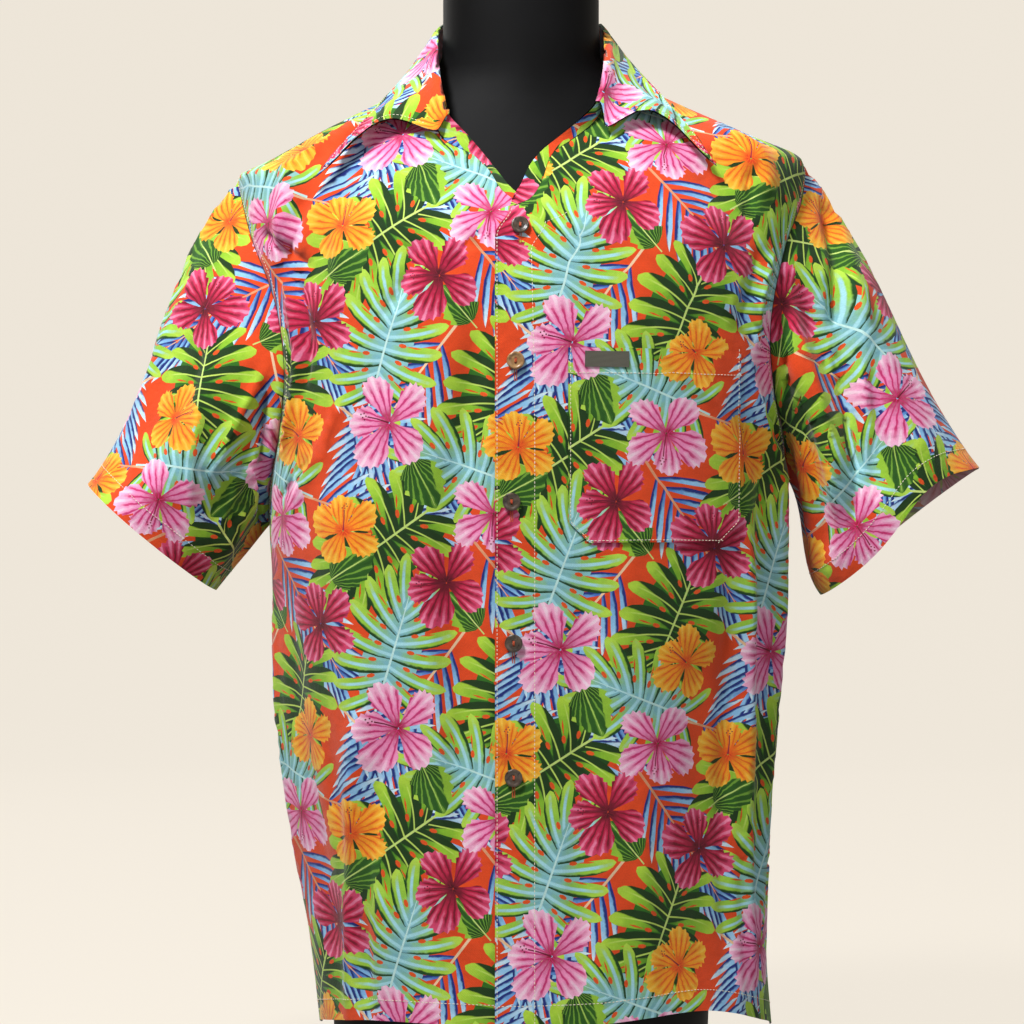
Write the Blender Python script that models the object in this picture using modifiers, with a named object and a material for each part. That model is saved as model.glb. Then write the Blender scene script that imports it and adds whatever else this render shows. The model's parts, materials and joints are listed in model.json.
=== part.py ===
"""A short-sleeved hawaiian shirt, buttoned up on a limbless dress form.

Units: the tables are in millimetres and the scene is in metres.  +Z is up, -Y is
the front, and the origin is in the middle of the dress form's flat foot.
"Right" and "left" in a piece's name are the wearer's; the wearer's left is +X.

The cloth lies on one worn form, given as rings (TORSO).  A point of it is named
by its turn, from 0 at the middle of the front or back to 1 at the side seam or
the shoulder ridge, and by its height.  Each piece is a grid between its own cut
edges on that form, pushed out into its folds, and closed as a thin wall.
"""

import math
from functools import lru_cache
from typing import NamedTuple

import bmesh
import bpy
import numpy as np
from mathutils import Matrix, Vector

MM = 0.001
COLLECTION = "hawaiian_shirt"

# Driving sizes, mm
CLOTH_WALL = 2.0
COLLAR_WALL = 1.6
SEAM_GAP = 0.3
LAP_RISE = 2.7            # the upper front lies this far out over the lower one
LAP_FADE = (52.0, 102.0)  # and settles back on the form over this run from its edge
MITRE_LIMIT = 1.35
CORNER_NEATNESS = 1.2     # evens out the spacing of points round a ring

# Grid counts
BODY_ROWS = 11            # hem to underarm
CHEST_ROWS = 8            # underarm to the front neck corner
NECK_ROWS = 10            # front neck corner to the shoulder
BACK_NECK_ROWS = 5
PANEL_COLUMNS = 12
SLEEVE_ROWS = 9
LEAF_ROWS = 10
FORM_SIDES = 36
ARM_ROWS = CHEST_ROWS + NECK_ROWS
ROWS = BODY_ROWS + ARM_ROWS
UNDERARM_SHARE = BODY_ROWS / ROWS
FRONT_CORNER_SHARE = (BODY_ROWS + CHEST_ROWS) / ROWS
BACK_CORNER_SHARE = (ROWS - BACK_NECK_ROWS) / ROWS

RIGHT, LEFT = -1, 1       # the wearer's sides, as signs of X
FRONT, BACK = -1, 1       # as signs of Y


class Ring(NamedTuple):
    """One level ring of the worn shirt: how far it reaches each way."""
    z: float
    right: float
    left: float
    middle: float
    front: float
    back: float
    side_y: float
    fullness: float


TORSO = [
    Ring(50, 159, 201, -4, 128, 127, 4, 2.3),
    Ring(120, 167.5, 196, -4, 124, 123, 4, 2.3),
    Ring(175, 174.5, 195, -4, 122, 120, 4, 2.3),
    Ring(235, 184.5, 197.5, -5, 121, 118, 4, 2.3),
    Ring(318, 194, 204, -6, 122, 119, 4, 2.3),
    Ring(400, 197, 210, -6, 125, 126, 4, 2.3),
    Ring(460, 201, 210, -6, 128, 133, 4, 2.3),
    Ring(540, 201, 210, -5, 131, 140, 4, 2.3),
    Ring(620, 205, 214, -4, 129, 143, 3, 2.3),
    Ring(680, 218, 220, -3, 119, 139, 2, 2.3),
    Ring(714, 223, 226, -2, 104, 132, 1, 2.25),
    Ring(734, 226, 227, -1, 94, 126, 0, 2.2),
    Ring(747, 202, 225, 0, 87, 121, 0, 2.2),
    Ring(770, 161, 178, 0, 76, 112, 0, 2.2),
    Ring(790, 121, 132, 0, 66, 102, 0, 2.2),
    Ring(806, 91, 98, 0, 56, 93, 0, 2.2),
    Ring(822, 70, 70, 0, 50, 82, 0, 2.2),
    Ring(840, 60, 60, 0, 40, 71, 0, 2.2),
]

# Heights that the sides don't share
SHOULDER_POINT_Z = {RIGHT: 734.0, LEFT: 747.0}
SHOULDER_NECK_Z = 821.5
UNDERARM_Z = {RIGHT: 458.0, LEFT: 500.0}
BACK_NECK_Z = 838.0
CHEST_LEVEL_Z = 480.0     # where the rows that reach the underarms meet the middle
EDGE_X = {RIGHT: 10.0, LEFT: -20.0}


class HemPoint(NamedTuple):
    """How high the hem hangs at one turn of the body."""
    turn: float
    z: float


HEM = {
    (FRONT, RIGHT): [HemPoint(-0.1, 78), HemPoint(0.35, 80), HemPoint(0.75, 70), HemPoint(1, 60)],
    (FRONT, LEFT): [HemPoint(-0.1, 78), HemPoint(0.2, 80), HemPoint(0.45, 86), HemPoint(0.75, 70),
                    HemPoint(1, 58)],
    (BACK, RIGHT): [HemPoint(0, 70), HemPoint(0.6, 68), HemPoint(1, 60)],
    (BACK, LEFT): [HemPoint(0, 70), HemPoint(0.6, 67), HemPoint(1, 58)],
}


class NeckPoint(NamedTuple):
    """A point of the front neckline, seen from the front."""
    x: float
    z: float


NECKLINE = {
    RIGHT: [NeckPoint(4, 700), NeckPoint(-14, 713), NeckPoint(-25.5, 731), NeckPoint(-35, 741),
            NeckPoint(-59, 754.5), NeckPoint(-67, 784), NeckPoint(-71.5, 806), NeckPoint(-71, 821.5)],
    LEFT: [NeckPoint(-8.7, 699), NeckPoint(6.5, 705.4), NeckPoint(16.5, 723), NeckPoint(23.5, 743),
           NeckPoint(39, 755), NeckPoint(54.6, 767.7), NeckPoint(66, 789), NeckPoint(71, 807),
           NeckPoint(71, 821.5)],
}


class ArmholePoint(NamedTuple):
    """A point of an armhole: share of its height, and turn on the form."""
    share: float
    turn: float


ARMHOLE = {
    FRONT: [ArmholePoint(0, 1), ArmholePoint(0.1, 0.86), ArmholePoint(0.25, 0.73),
            ArmholePoint(0.45, 0.68), ArmholePoint(0.7, 0.73), ArmholePoint(0.88, 0.85),
            ArmholePoint(1, 1)],
    BACK: [ArmholePoint(0, 1), ArmholePoint(0.1, 0.85), ArmholePoint(0.25, 0.76),
           ArmholePoint(0.5, 0.74), ArmholePoint(0.75, 0.79), ArmholePoint(0.9, 0.89),
           ArmholePoint(1, 1)],
}


class Cuff(NamedTuple):
    """The open end of a sleeve: its outer and inner corners and its shape."""
    outer_x: float
    outer_z: float
    inner_x: float
    inner_z: float
    middle_y: float
    half_depth: float
    back_drop: float
    notch_lift: float
    notch_share: float
    top_bulge: float


CUFFS = {
    RIGHT: Cuff(-346, 491, -244, 406, 2, 60, 9, 0, 0.2, 7),
    LEFT: Cuff(367, 503, 240, 402, 2, 60, 2, 17, 0.18, 4),
}


class Fold(NamedTuple):
    """A soft fold of a panel, from one place to another.

    Places are shares across and up the panel (round and down a sleeve); the
    half width and the height are mm, and a trough has a height below zero.
    """
    across_0: float
    up_0: float
    across_1: float
    up_1: float
    half_width: float
    height: float


class Panel(NamedTuple):
    """A body panel's rough size, which turns shares into mm for its folds."""
    width: float
    height: float


PANEL_SIZE = Panel(300, 800)
SLEEVE_SIZE = Panel(430, 250)

FOLDS = {
    "front_right": [
        Fold(0.18, 0.93, 0.83, 0.80, 13, 6.5),
        Fold(0.10, 0.86, 0.90, 0.70, 20, -4.5),
        Fold(0.86, 0.78, 0.90, 0.48, 12, 6),
        Fold(0.20, 0.62, 0.20, 0.06, 15, -5),
        Fold(0.50, 0.44, 0.42, -0.02, 20, 5),
        Fold(0.74, 0.36, 0.62, -0.02, 22, -5),
        Fold(0.36, 0.58, 0.30, 0.30, 24, 3),
    ],
    "front_left": [
        Fold(0.34, 0.92, 0.76, 0.84, 15, 5),
        Fold(0.30, 0.86, 0.88, 0.74, 20, -4),
        Fold(0.83, 0.62, 0.76, -0.02, 15, 6),
        Fold(0.90, 0.58, 0.88, 0.10, 14, -5),
        Fold(0.28, 0.40, 0.34, -0.02, 26, 4.5),
        Fold(0.48, 0.30, 0.55, -0.02, 24, -4.5),
    ],
    "back_right": [
        Fold(0.62, 0.88, 0.80, 0.62, 20, 6),
        Fold(0.30, 0.80, 0.34, 0.02, 30, 6),
        Fold(0.62, 0.60, 0.58, -0.02, 26, -6),
        Fold(0.84, 0.50, 0.80, 0.02, 20, 5),
    ],
    "back_left": [
        Fold(0.58, 0.90, 0.80, 0.66, 18, 5),
        Fold(0.22, 0.74, 0.24, -0.02, 28, -5),
        Fold(0.46, 0.70, 0.50, -0.02, 26, 6.5),
        Fold(0.78, 0.54, 0.80, -0.02, 24, -5),
    ],
    "sleeve_right": [
        Fold(0.30, 0.02, 0.34, 0.80, 15, -6),
        Fold(0.20, 0.10, 0.22, 1.05, 18, 5),
        Fold(0.10, 0.25, 0.12, 1.05, 16, -4),
        Fold(0.42, 0.10, 0.41, 0.90, 12, 4),
        Fold(0.68, 0.05, 0.66, 1.00, 18, -6),
        Fold(0.80, 0.10, 0.79, 1.05, 20, 5),
    ],
    "sleeve_left": [
        Fold(0.17, 0.03, 0.26, 0.92, 14, -10),
        Fold(0.25, 0.03, 0.34, 0.80, 12, 6),
        Fold(0.09, 0.10, 0.16, 1.05, 16, 6),
        Fold(0.34, 0.06, 0.40, 0.90, 12, -6),
        Fold(0.72, 0.05, 0.70, 1.00, 20, -6),
        Fold(0.83, 0.08, 0.82, 1.05, 20, 5),
    ],
}
SEAM_FADE = 26.0          # folds die away over this many mm before a seam


class CollarStation(NamedTuple):
    """A place of the collar's fold: share round from neck corner (0) over the
    shoulder (1) to the middle of the back (2), and the stand's top there."""
    share: float
    x: float
    y: float
    z: float


STAND_TOP = {
    RIGHT: [CollarStation(0, 3, -101.5, 707), CollarStation(0.1, -7.6, -97, 716),
            CollarStation(0.2, -18.5, -90.5, 730), CollarStation(0.3, -29.5, -84, 744.5),
            CollarStation(0.4, -43.5, -81.5, 761), CollarStation(0.5, -57, -81, 776),
            CollarStation(0.6, -61, -74, 790), CollarStation(0.7, -64, -63, 806),
            CollarStation(0.8, -66, -46, 823), CollarStation(0.9, -67, -22, 838),
            CollarStation(1, -67, 6, 850), CollarStation(1.25, -62.5, 32, 863),
            CollarStation(1.6, -39.5, 60, 870), CollarStation(2, 0, 72.5, 873)],
    LEFT: [CollarStation(0, -5.5, -105, 710), CollarStation(0.1, -0.5, -102, 718),
           CollarStation(0.2, 6, -95.5, 733), CollarStation(0.3, 15.5, -88.5, 745.5),
           CollarStation(0.4, 31, -84, 758.5), CollarStation(0.5, 46, -81.5, 771),
           CollarStation(0.6, 58.5, -77, 785), CollarStation(0.7, 63.5, -64.5, 805),
           CollarStation(0.8, 66, -46, 823), CollarStation(0.9, 67, -22, 838),
           CollarStation(1, 67, 6, 851), CollarStation(1.25, 62.5, 32, 863),
           CollarStation(1.6, 39.5, 60, 870), CollarStation(2, 0, 72.5, 873)],
}
LEAF_START = {RIGHT: 0.5, LEFT: 0.6}   # the leaf begins this share round each side
ROLL_RISE = 3.0           # the leaf stands up this far over the stand as it folds
ROLL_OUT = 2.8            # and this far out from it


class LeafStation(NamedTuple):
    """A section of the collar leaf: its dip and its ridge in space, and where
    its outer edge lies over the worn form, seen from the front."""
    share: float
    dip_x: float
    dip_y: float
    dip_z: float
    ridge_x: float
    ridge_y: float
    ridge_z: float
    edge_x: float
    edge_z: float
    edge_lift: float


LEAF = {
    RIGHT: [LeafStation(0.5, -66, -84, 762, -99, -77.5, 772, -157, 722, 7),
            LeafStation(0.72, -76, -60, 797, -98, -58, 789, -132, 756, 5),
            LeafStation(0.86, -78, -29, 822, -91, -31, 807, -111, 782, 4),
            LeafStation(1, -75, 3, 843, -83, -1, 831, -98, 801, 3),
            LeafStation(1.25, -67, 34, 858, -76, 40, 845, -92, 800, 3.5),
            LeafStation(1.6, -42.5, 66.5, 865, -49, 76, 850, -58, 808, 4),
            LeafStation(2, 0, 79.5, 867, 0, 90, 852, 0, 818, 4)],
    LEFT: [LeafStation(0.6, 66, -83, 765, 95.2, -77, 779, 148, 732, 7),
           LeafStation(0.72, 76, -60, 797, 96, -58, 793, 134, 755, 5.5),
           LeafStation(0.86, 78, -29, 823, 92, -30, 808, 115, 781, 4),
           LeafStation(1, 76, 3, 844, 84, -1, 833, 103, 801, 3),
           LeafStation(1.25, 67, 34, 858, 77, 40, 845, 97, 800, 3.5),
           LeafStation(1.6, 42.5, 66.5, 865, 49, 76, 850, 62, 808, 4),
           LeafStation(2, 0, 79.5, 867, 0, 90, 852, 0, 818, 4)],
}


class FormRing(NamedTuple):
    """One level ring of the dress form."""
    z: float
    half_width: float
    front: float
    back: float
    fullness: float


FORM = [
    FormRing(0, 141, 91, 93, 2.3),
    FormRing(5, 146, 96, 98, 2.3),
    FormRing(14, 148, 98, 100, 2.3),
    FormRing(70, 150, 101, 103, 2.3),
    FormRing(150, 151, 102, 104, 2.3),
    FormRing(240, 148, 97, 98, 2.3),
    FormRing(330, 149, 95, 94, 2.3),
    FormRing(420, 157, 101, 104, 2.3),
    FormRing(500, 166, 109, 114, 2.3),
    FormRing(580, 172, 114, 121, 2.3),
    FormRing(640, 176, 110, 122, 2.2),
    FormRing(690, 179, 98, 116, 2.1),
    FormRing(715, 179, 89, 110, 2.0),
    FormRing(735, 178, 81, 103, 1.9),
    FormRing(750, 174, 75, 97, 1.8),
    FormRing(770, 152, 68, 88, 1.7),
    FormRing(790, 113, 62, 79, 1.65),
    FormRing(803, 89, 59, 73, 1.65),
    FormRing(812, 76, 58, 70, 1.7),
    FormRing(820, 67.5, 57.5, 68, 1.85),
    FormRing(832, 63, 57.3, 67.3, 2.0),
    FormRing(860, 62.3, 57.3, 67.3, 2.0),
    FormRing(905, 62.3, 57.3, 67.3, 2.0),
    FormRing(917, 60.5, 55.5, 65.5, 2.0),
    FormRing(923, 55, 50, 60, 2.0),
]
NECK_TOP_Z = 925.0
NECK_TOP_SHRINK = 0.55


class Place(NamedTuple):
    """Where a button's middle lies, seen from the front."""
    x: float
    z: float


BUTTONS = [Place(-1, 684), Place(-4.5, 582), Place(-7.5, 476), Place(-6, 369), Place(-6, 267)]
BUTTON_SIDES = 20
BUTTON_RISE = 0.5          # clear of the placket, as the thread shank holds it
HOLE_RADIUS = 0.95
HOLE_OFFSET = 1.6
HOLE_SIDES = 8


class ButtonRing(NamedTuple):
    """A ring of the turned button: its radius and its height over the back."""
    radius: float
    height: float


BUTTON_PROFILE = [ButtonRing(0, 2.0), ButtonRing(3.6, 2.0), ButtonRing(4.1, 2.3), ButtonRing(5.1, 3.0),
                  ButtonRing(6.2, 2.7), ButtonRing(6.8, 1.6), ButtonRing(6.3, 0.6), ButtonRing(4.6, 0),
                  ButtonRing(0, 0)]

# The chest pocket, on the wearer's left front, seen from the front
POCKET_X = (35.0, 168.0)
POCKET_Z = (445.0, 592.0)
POCKET_CHAMFER = 16.0
POCKET_WALL = 1.2
POCKET_RISE = 0.55
POCKET_COLUMNS = 12
POCKET_ROWS = 7

# The plain woven tab on the pocket's top edge
TAB_X = (47.5, 81.0)
TAB_Z = (577.5, 589.5)
TAB_WALL = 0.7
TAB_RISE = 0.35
TAB_COLUMNS = 4


class Look(NamedTuple):
    """A plain finish: colour as red, green and blue, and roughness."""
    colour: tuple
    roughness: float


CLOTH_LOOK = Look((0.85, 0.18, 0.05), 0.8)
COLLAR_LOOK = Look((0.35, 0.55, 0.12), 0.8)
SLEEVE_LOOK = Look((0.12, 0.35, 0.62), 0.8)
POCKET_LOOK = Look((0.75, 0.08, 0.22), 0.8)
TAB_LOOK = Look((0.24, 0.23, 0.17), 0.7)
FORM_LOOK = Look((0.01, 0.01, 0.012), 0.75)
BUTTON_LOOK = Look((0.13, 0.09, 0.07), 0.35)


# ---------------------------------------------------------------- curves

class Smooth:
    """A smooth curve through a table's column that never overshoots its values."""

    def __init__(self, keys, values):
        self.keys, self.values = np.asarray(keys, float), np.asarray(values, float)
        steps = np.diff(self.keys)
        rises = np.diff(self.values) / steps
        self.slopes = np.empty(len(self.keys))
        self.slopes[0], self.slopes[-1] = rises[0], rises[-1]
        for i in range(1, len(self.keys) - 1):
            before, after = rises[i - 1], rises[i]
            if before * after <= 0.0:
                self.slopes[i] = 0.0
            else:
                w_before = 2.0 * steps[i] + steps[i - 1]
                w_after = steps[i] + 2.0 * steps[i - 1]
                self.slopes[i] = (w_before + w_after) / (w_before / before + w_after / after)

    def __call__(self, at):
        """The curve's value at any place on its keys."""
        i = np.clip(np.searchsorted(self.keys, at) - 1, 0, len(self.keys) - 2)
        step = self.keys[i + 1] - self.keys[i]
        f = np.clip((at - self.keys[i]) / step, 0.0, 1.0)
        return (self.values[i] * (1 + 2 * f) * (1 - f) ** 2 + self.slopes[i] * step * f * (1 - f) ** 2
                + self.values[i + 1] * f * f * (3 - 2 * f) - self.slopes[i + 1] * step * f * f * (1 - f))


def smooth_value(keys, values, at):
    """A smooth curve through a column, read at any place."""
    return Smooth(keys, values)(np.asarray(at, float))


def smooth_points(keys, points, at):
    """A smooth curve through points in space, read at places on their keys."""
    points = np.asarray(points, float)
    return np.stack([smooth_value(keys, points[:, k], at) for k in range(points.shape[1])], axis=-1)


def run_lengths(points):
    """Length along a chain of points up to each of them."""
    steps = np.linalg.norm(np.diff(points, axis=0), axis=1)
    return np.concatenate([[0.0], np.cumsum(steps)])


def soft_step(value):
    """0 below 0, 1 above 1 and a smooth ramp between."""
    value = np.clip(value, 0.0, 1.0)
    return value * value * (3 - 2 * value)


# ---------------------------------------------------------------- worn form

COLUMN = {name: Smooth([ring.z for ring in TORSO], [getattr(ring, name) for ring in TORSO])
          for name in Ring._fields[1:]}


def half_width(z, side):
    """The ring's middle, and its reach from there to one side, at heights."""
    middle = COLUMN["middle"](z)
    return middle, COLUMN["left"](z) - middle if side == LEFT else COLUMN["right"](z) + middle


def torso(turn, z, side, face):
    """Points of the worn form at turns and heights, on one side and face."""
    turn, z = np.broadcast_arrays(np.asarray(turn, float), np.asarray(z, float))
    middle, half = half_width(z, side)
    depth = COLUMN["front" if face == FRONT else "back"](z)
    power = 2.0 / COLUMN["fullness"](z)
    near, far = np.abs(turn) ** CORNER_NEATNESS, np.abs(1 - np.abs(turn)) ** CORNER_NEATNESS
    angle = 0.5 * math.pi * near / (near + far)
    x = middle + side * half * np.sign(turn) * np.sin(angle) ** power
    y = COLUMN["side_y"](z) + face * depth * np.abs(np.cos(angle)) ** power
    return np.stack([x, y, z], axis=-1)


def turn_at(x, z, side):
    """The turn at which a ring reaches an x at a height."""
    middle, half = half_width(z, side)
    reach = side * (x - middle) / half
    angle = math.asin(min(1.0, abs(reach) ** (0.5 * float(COLUMN["fullness"](z)))))
    share = angle / (0.5 * math.pi)
    if share >= 1.0:
        return 1.0
    ratio = (share / (1.0 - share)) ** (1.0 / CORNER_NEATNESS)
    return math.copysign(ratio / (1.0 + ratio), reach)


def outward(grid, side_sign):
    """Unit normals of a grid of points, turned to the outside."""
    up = np.gradient(grid, axis=0)
    along = np.gradient(grid, axis=1)
    normal = np.cross(up, along) * side_sign
    length = np.linalg.norm(normal, axis=-1, keepdims=True)
    return normal / np.maximum(length, 1e-9)


# ---------------------------------------------------------------- panel grids

@lru_cache(maxsize=None)
def armhole_run(side, face):
    """Shares of an armhole's height, and of its length up to each of them."""
    fine = np.linspace(0.0, 1.0, 200)
    run = run_lengths(torso(*armhole_place(fine, side, face), side, face))
    return fine, run / run[-1]


def armhole_place(share, side, face):
    """Turn and height at a share of an armhole's height."""
    turn = smooth_value([p.share for p in ARMHOLE[face]], [p.turn for p in ARMHOLE[face]], share)
    return turn, UNDERARM_Z[side] + (SHOULDER_POINT_Z[side] - UNDERARM_Z[side]) * share


def armhole_edge(shares, side, face):
    """Turns and heights on a panel's armhole, evenly spaced along it."""
    fine, run = armhole_run(side, face)
    return armhole_place(np.interp(shares, run, fine), side, face)


@lru_cache(maxsize=None)
def front_neckline(side):
    """The front neckline's turns and heights as curves along its length."""
    points = NECKLINE[side]
    turns = [turn_at(p.x, p.z, side) for p in points[:-1]] + [1.0]
    heights = [p.z for p in points]
    run = run_lengths(torso(turns, heights, side, FRONT))
    return Smooth(run / run[-1], turns), Smooth(run / run[-1], heights)


def neck_edge(shares, side, face):
    """Turns and heights on a panel's neckline, from its corner to the shoulder."""
    shares = np.asarray(shares, float)
    if face == BACK:
        return shares, BACK_NECK_Z - (BACK_NECK_Z - SHOULDER_NECK_Z) * shares ** 1.6
    turns, heights = front_neckline(side)
    return turns(shares), heights(shares)


def inner_edge(up, side, face):
    """Turns and heights up a panel's middle edge and then its neckline."""
    corner_share = FRONT_CORNER_SHARE if face == FRONT else BACK_CORNER_SHARE
    corner_turn, corner_z = (float(v) for v in neck_edge(0.0, side, face))
    hem_turn = turn_at(EDGE_X[side], HEM[face, side][0].z, side) if face == FRONT else 0.0
    hem_z = hem_height(hem_turn, side, face)
    level = CHEST_LEVEL_Z
    if up <= UNDERARM_SHARE:
        z = hem_z + (level - hem_z) * up / UNDERARM_SHARE
    elif up <= corner_share:
        left_over = (corner_share - up) / (corner_share - UNDERARM_SHARE)
        z = level + (corner_z - level) * (1 - left_over ** 1.3)
    else:
        turn, z = neck_edge((up - corner_share) / (1 - corner_share), side, face)
        return float(turn), float(z)
    if face == BACK:
        return 0.0, z
    straight = turn_at(EDGE_X[side], z, side)
    return straight + (corner_turn - straight) * float(soft_step((z - corner_z + 22) / 22)), z


def outer_edge(up, side, face):
    """Turns and heights up a panel's side seam and then its armhole."""
    hem_z = hem_height(1.0, side, face)
    if up <= UNDERARM_SHARE:
        return 1.0, hem_z + (UNDERARM_Z[side] - hem_z) * up / UNDERARM_SHARE
    turn, z = armhole_edge((up - UNDERARM_SHARE) / (1 - UNDERARM_SHARE), side, face)
    return float(turn), float(z)


def hem_height(turn, side, face):
    """Height of the hem at a turn."""
    points = HEM[face, side]
    return float(smooth_value([p.turn for p in points], [p.z for p in points], turn))


def fold_height(name, across, up, size):
    """How far the folds push a panel out at shares across and up it."""
    total = np.zeros(np.broadcast(across, up).shape)
    for fold in FOLDS[name]:
        run = np.array([(fold.across_1 - fold.across_0) * size.width,
                        (fold.up_1 - fold.up_0) * size.height])
        length = float(np.hypot(*run))
        off_x = (across - fold.across_0) * size.width
        off_y = (up - fold.up_0) * size.height
        along = (off_x * run[0] + off_y * run[1]) / length ** 2
        beside = (off_x * run[1] - off_y * run[0]) / length
        ends = soft_step(along / 0.25) * soft_step((1 - along) / 0.25)
        total = total + fold.height * ends * np.exp(-(beside / fold.half_width) ** 2)
    return total


def panel_places(side, face):
    """Turn and height of each grid point of a half panel."""
    ups = np.arange(ROWS + 1) / ROWS
    across = np.arange(PANEL_COLUMNS + 1) / PANEL_COLUMNS
    inner = np.array([inner_edge(up, side, face) for up in ups])
    outer = np.array([outer_edge(up, side, face) for up in ups])
    hem_turns = inner[0, 0] + (outer[0, 0] - inner[0, 0]) * across
    hem_bow = np.array([hem_height(turn, side, face) for turn in hem_turns])
    hem_bow = hem_bow - (inner[0, 1] + (outer[0, 1] - inner[0, 1]) * across)
    turns = inner[:, :1] + (outer[:, :1] - inner[:, :1]) * across
    heights = inner[:, 1:] + (outer[:, 1:] - inner[:, 1:]) * across
    heights = heights + hem_bow * np.clip(1 - ups[:, None] / UNDERARM_SHARE, 0, 1)
    return turns, heights, across[None, :], ups[:, None]


def seam_shelter(across, up, size, face):
    """0 on a panel's seams and 1 well away from them, so that seams stay put."""
    outer = (1 - across) * size.width
    top = (1 - up) * size.height * 0.5
    sewn_inside = up > FRONT_CORNER_SHARE if face == FRONT else up > -1.0
    inner = np.where(sewn_inside, across * size.width, 1e3)
    nearest = np.minimum(np.minimum(outer, top), inner)
    return soft_step(nearest / SEAM_FADE)


def neck_lap(share):
    """How much of the lap is left at a share up the wearer's left neckline."""
    return 1 - soft_step((share * NECK_ROWS - 1) / 2.0)


def half_panel(name, side, face):
    """Outer points of a front, or of half the back, and their normals."""
    turns, heights, across, up = panel_places(side, face)
    grid = torso(turns, heights, side, face)
    normals = outward(grid, side * face)
    push = fold_height(name, across, up, PANEL_SIZE) * seam_shelter(across, up, PANEL_SIZE, face)
    if face == FRONT and side == LEFT:
        beside = across * PANEL_SIZE.width
        fade = (LAP_FADE[1] - beside) / (LAP_FADE[1] - LAP_FADE[0])
        at_neck = neck_lap((up - FRONT_CORNER_SHARE) * ROWS / NECK_ROWS)
        push = push + LAP_RISE * soft_step(fade) * at_neck
    return grid + normals * push[..., None], normals


def upper_front_push(x, z):
    """Point and normal of the wearer's left front at a place seen from the front."""
    turn = turn_at(x, z, LEFT)
    step = 0.004
    spots = np.array([[torso(turn + i * step, z + j * 1.0, LEFT, FRONT) for i in (-1, 0, 1)]
                      for j in (-1, 0, 1)])
    normal = np.cross(spots[1, 2] - spots[1, 0], spots[2, 1] - spots[0, 1])
    normal = normal / np.linalg.norm(normal)
    normal = normal if normal[1] < 0 else -normal
    inner_turn = turn_at(EDGE_X[LEFT], z, LEFT)
    outer_turn, up = panel_share(z)
    across = (turn - inner_turn) / (outer_turn - inner_turn)
    push = fold_height("front_left", across, up, PANEL_SIZE)
    push = push * seam_shelter(across, up, PANEL_SIZE, FRONT)
    fade = (LAP_FADE[1] - across * PANEL_SIZE.width) / (LAP_FADE[1] - LAP_FADE[0])
    push = float(push) + LAP_RISE * float(soft_step(fade))
    return spots[1, 1] + normal * push, normal


@lru_cache(maxsize=None)
def front_levels():
    """Shares up the wearer's left front below its neck corner, and heights."""
    ups = np.linspace(0.0, FRONT_CORNER_SHARE, 120)
    return ups, np.array([inner_edge(up, LEFT, FRONT)[1] for up in ups])


def panel_share(z):
    """Outer turn and share up the wearer's left front at a level height."""
    ups, levels = front_levels()
    up = float(np.interp(z, levels, ups))
    return outer_edge(up, LEFT, FRONT)[0], up


# ---------------------------------------------------------------- sleeves

def sleeve_grid(name, side, front, back):
    """Outer points of a sleeve, from its armhole to its cuff, and their normals.

    Columns run round from the shoulder, down the front, under the arm and up
    the back, and the last column is the first again.
    """
    top_down_front = front[BODY_ROWS:, -1][::-1]
    up_back = back[BODY_ROWS:, -1][1:]
    head = np.concatenate([top_down_front, up_back])
    cuff = CUFFS[side]
    outer = np.array([cuff.outer_x, cuff.middle_y, cuff.outer_z])
    inner = np.array([cuff.inner_x, cuff.middle_y, cuff.inner_z])
    centre, arm = 0.5 * (outer + inner), 0.5 * (outer - inner)
    axis = np.array([arm[2], 0, -arm[0]]) / np.linalg.norm(arm)
    axis = axis if axis[2] < 0 else -axis
    run = run_lengths(head)
    round_share = run / run[-1]
    angle = 2 * math.pi * round_share
    ring = centre + np.cos(angle)[:, None] * arm
    ring = ring + np.sin(angle)[:, None] * [0, FRONT * cuff.half_depth, 0]
    drop = cuff.back_drop * np.clip(-np.sin(angle), 0, 1)
    lift = cuff.notch_lift * np.exp(-((round_share - cuff.notch_share) / 0.1) ** 2)
    ring = ring + (drop - lift)[:, None] * axis
    down = np.arange(SLEEVE_ROWS + 1)[:, None, None] / SLEEVE_ROWS
    reach = np.linalg.norm(ring - head, axis=1)[:, None]
    leave = axis * reach
    top_weight = np.clip(np.cos(angle), 0, 1)[:, None] ** 2
    leave = leave + top_weight * np.array([side * cuff.top_bulge * 4, 0, cuff.top_bulge])
    arrive = axis * reach
    f = down
    grid = (head * (1 + 2 * f) * (1 - f) ** 2 + leave * f * (1 - f) ** 2
            + ring * f * f * (3 - 2 * f) - arrive * f * f * (1 - f))
    normals = tube_normals(grid)
    across = round_share[None, :]
    clear_of_seam = soft_step(down[:, :, 0] * SLEEVE_SIZE.height / SEAM_FADE)
    push = fold_height(name, across, down[:, :, 0], SLEEVE_SIZE) * clear_of_seam
    grid = grid + normals * push[..., None]
    return grid, tube_normals(grid)


def tube_normals(grid):
    """Outward normals of a tube whose last column repeats its first."""
    ring = grid[:, :-1]
    along = np.roll(ring, -1, axis=1) - np.roll(ring, 1, axis=1)
    down = np.gradient(ring, axis=0)
    normal = np.cross(along, down)
    normal = normal / np.maximum(np.linalg.norm(normal, axis=-1, keepdims=True), 1e-9)
    away = ring - ring.mean(axis=1, keepdims=True)
    if np.sum(normal * away) < 0:
        normal = -normal
    return np.concatenate([normal, normal[:, :1]], axis=1)


# ---------------------------------------------------------------- collar

def stand_top(shares, side):
    """Points of the stand's top edge at shares round one side."""
    rows = STAND_TOP[side]
    return smooth_points([s.share for s in rows], [[s.x, s.y, s.z] for s in rows], shares)


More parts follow.
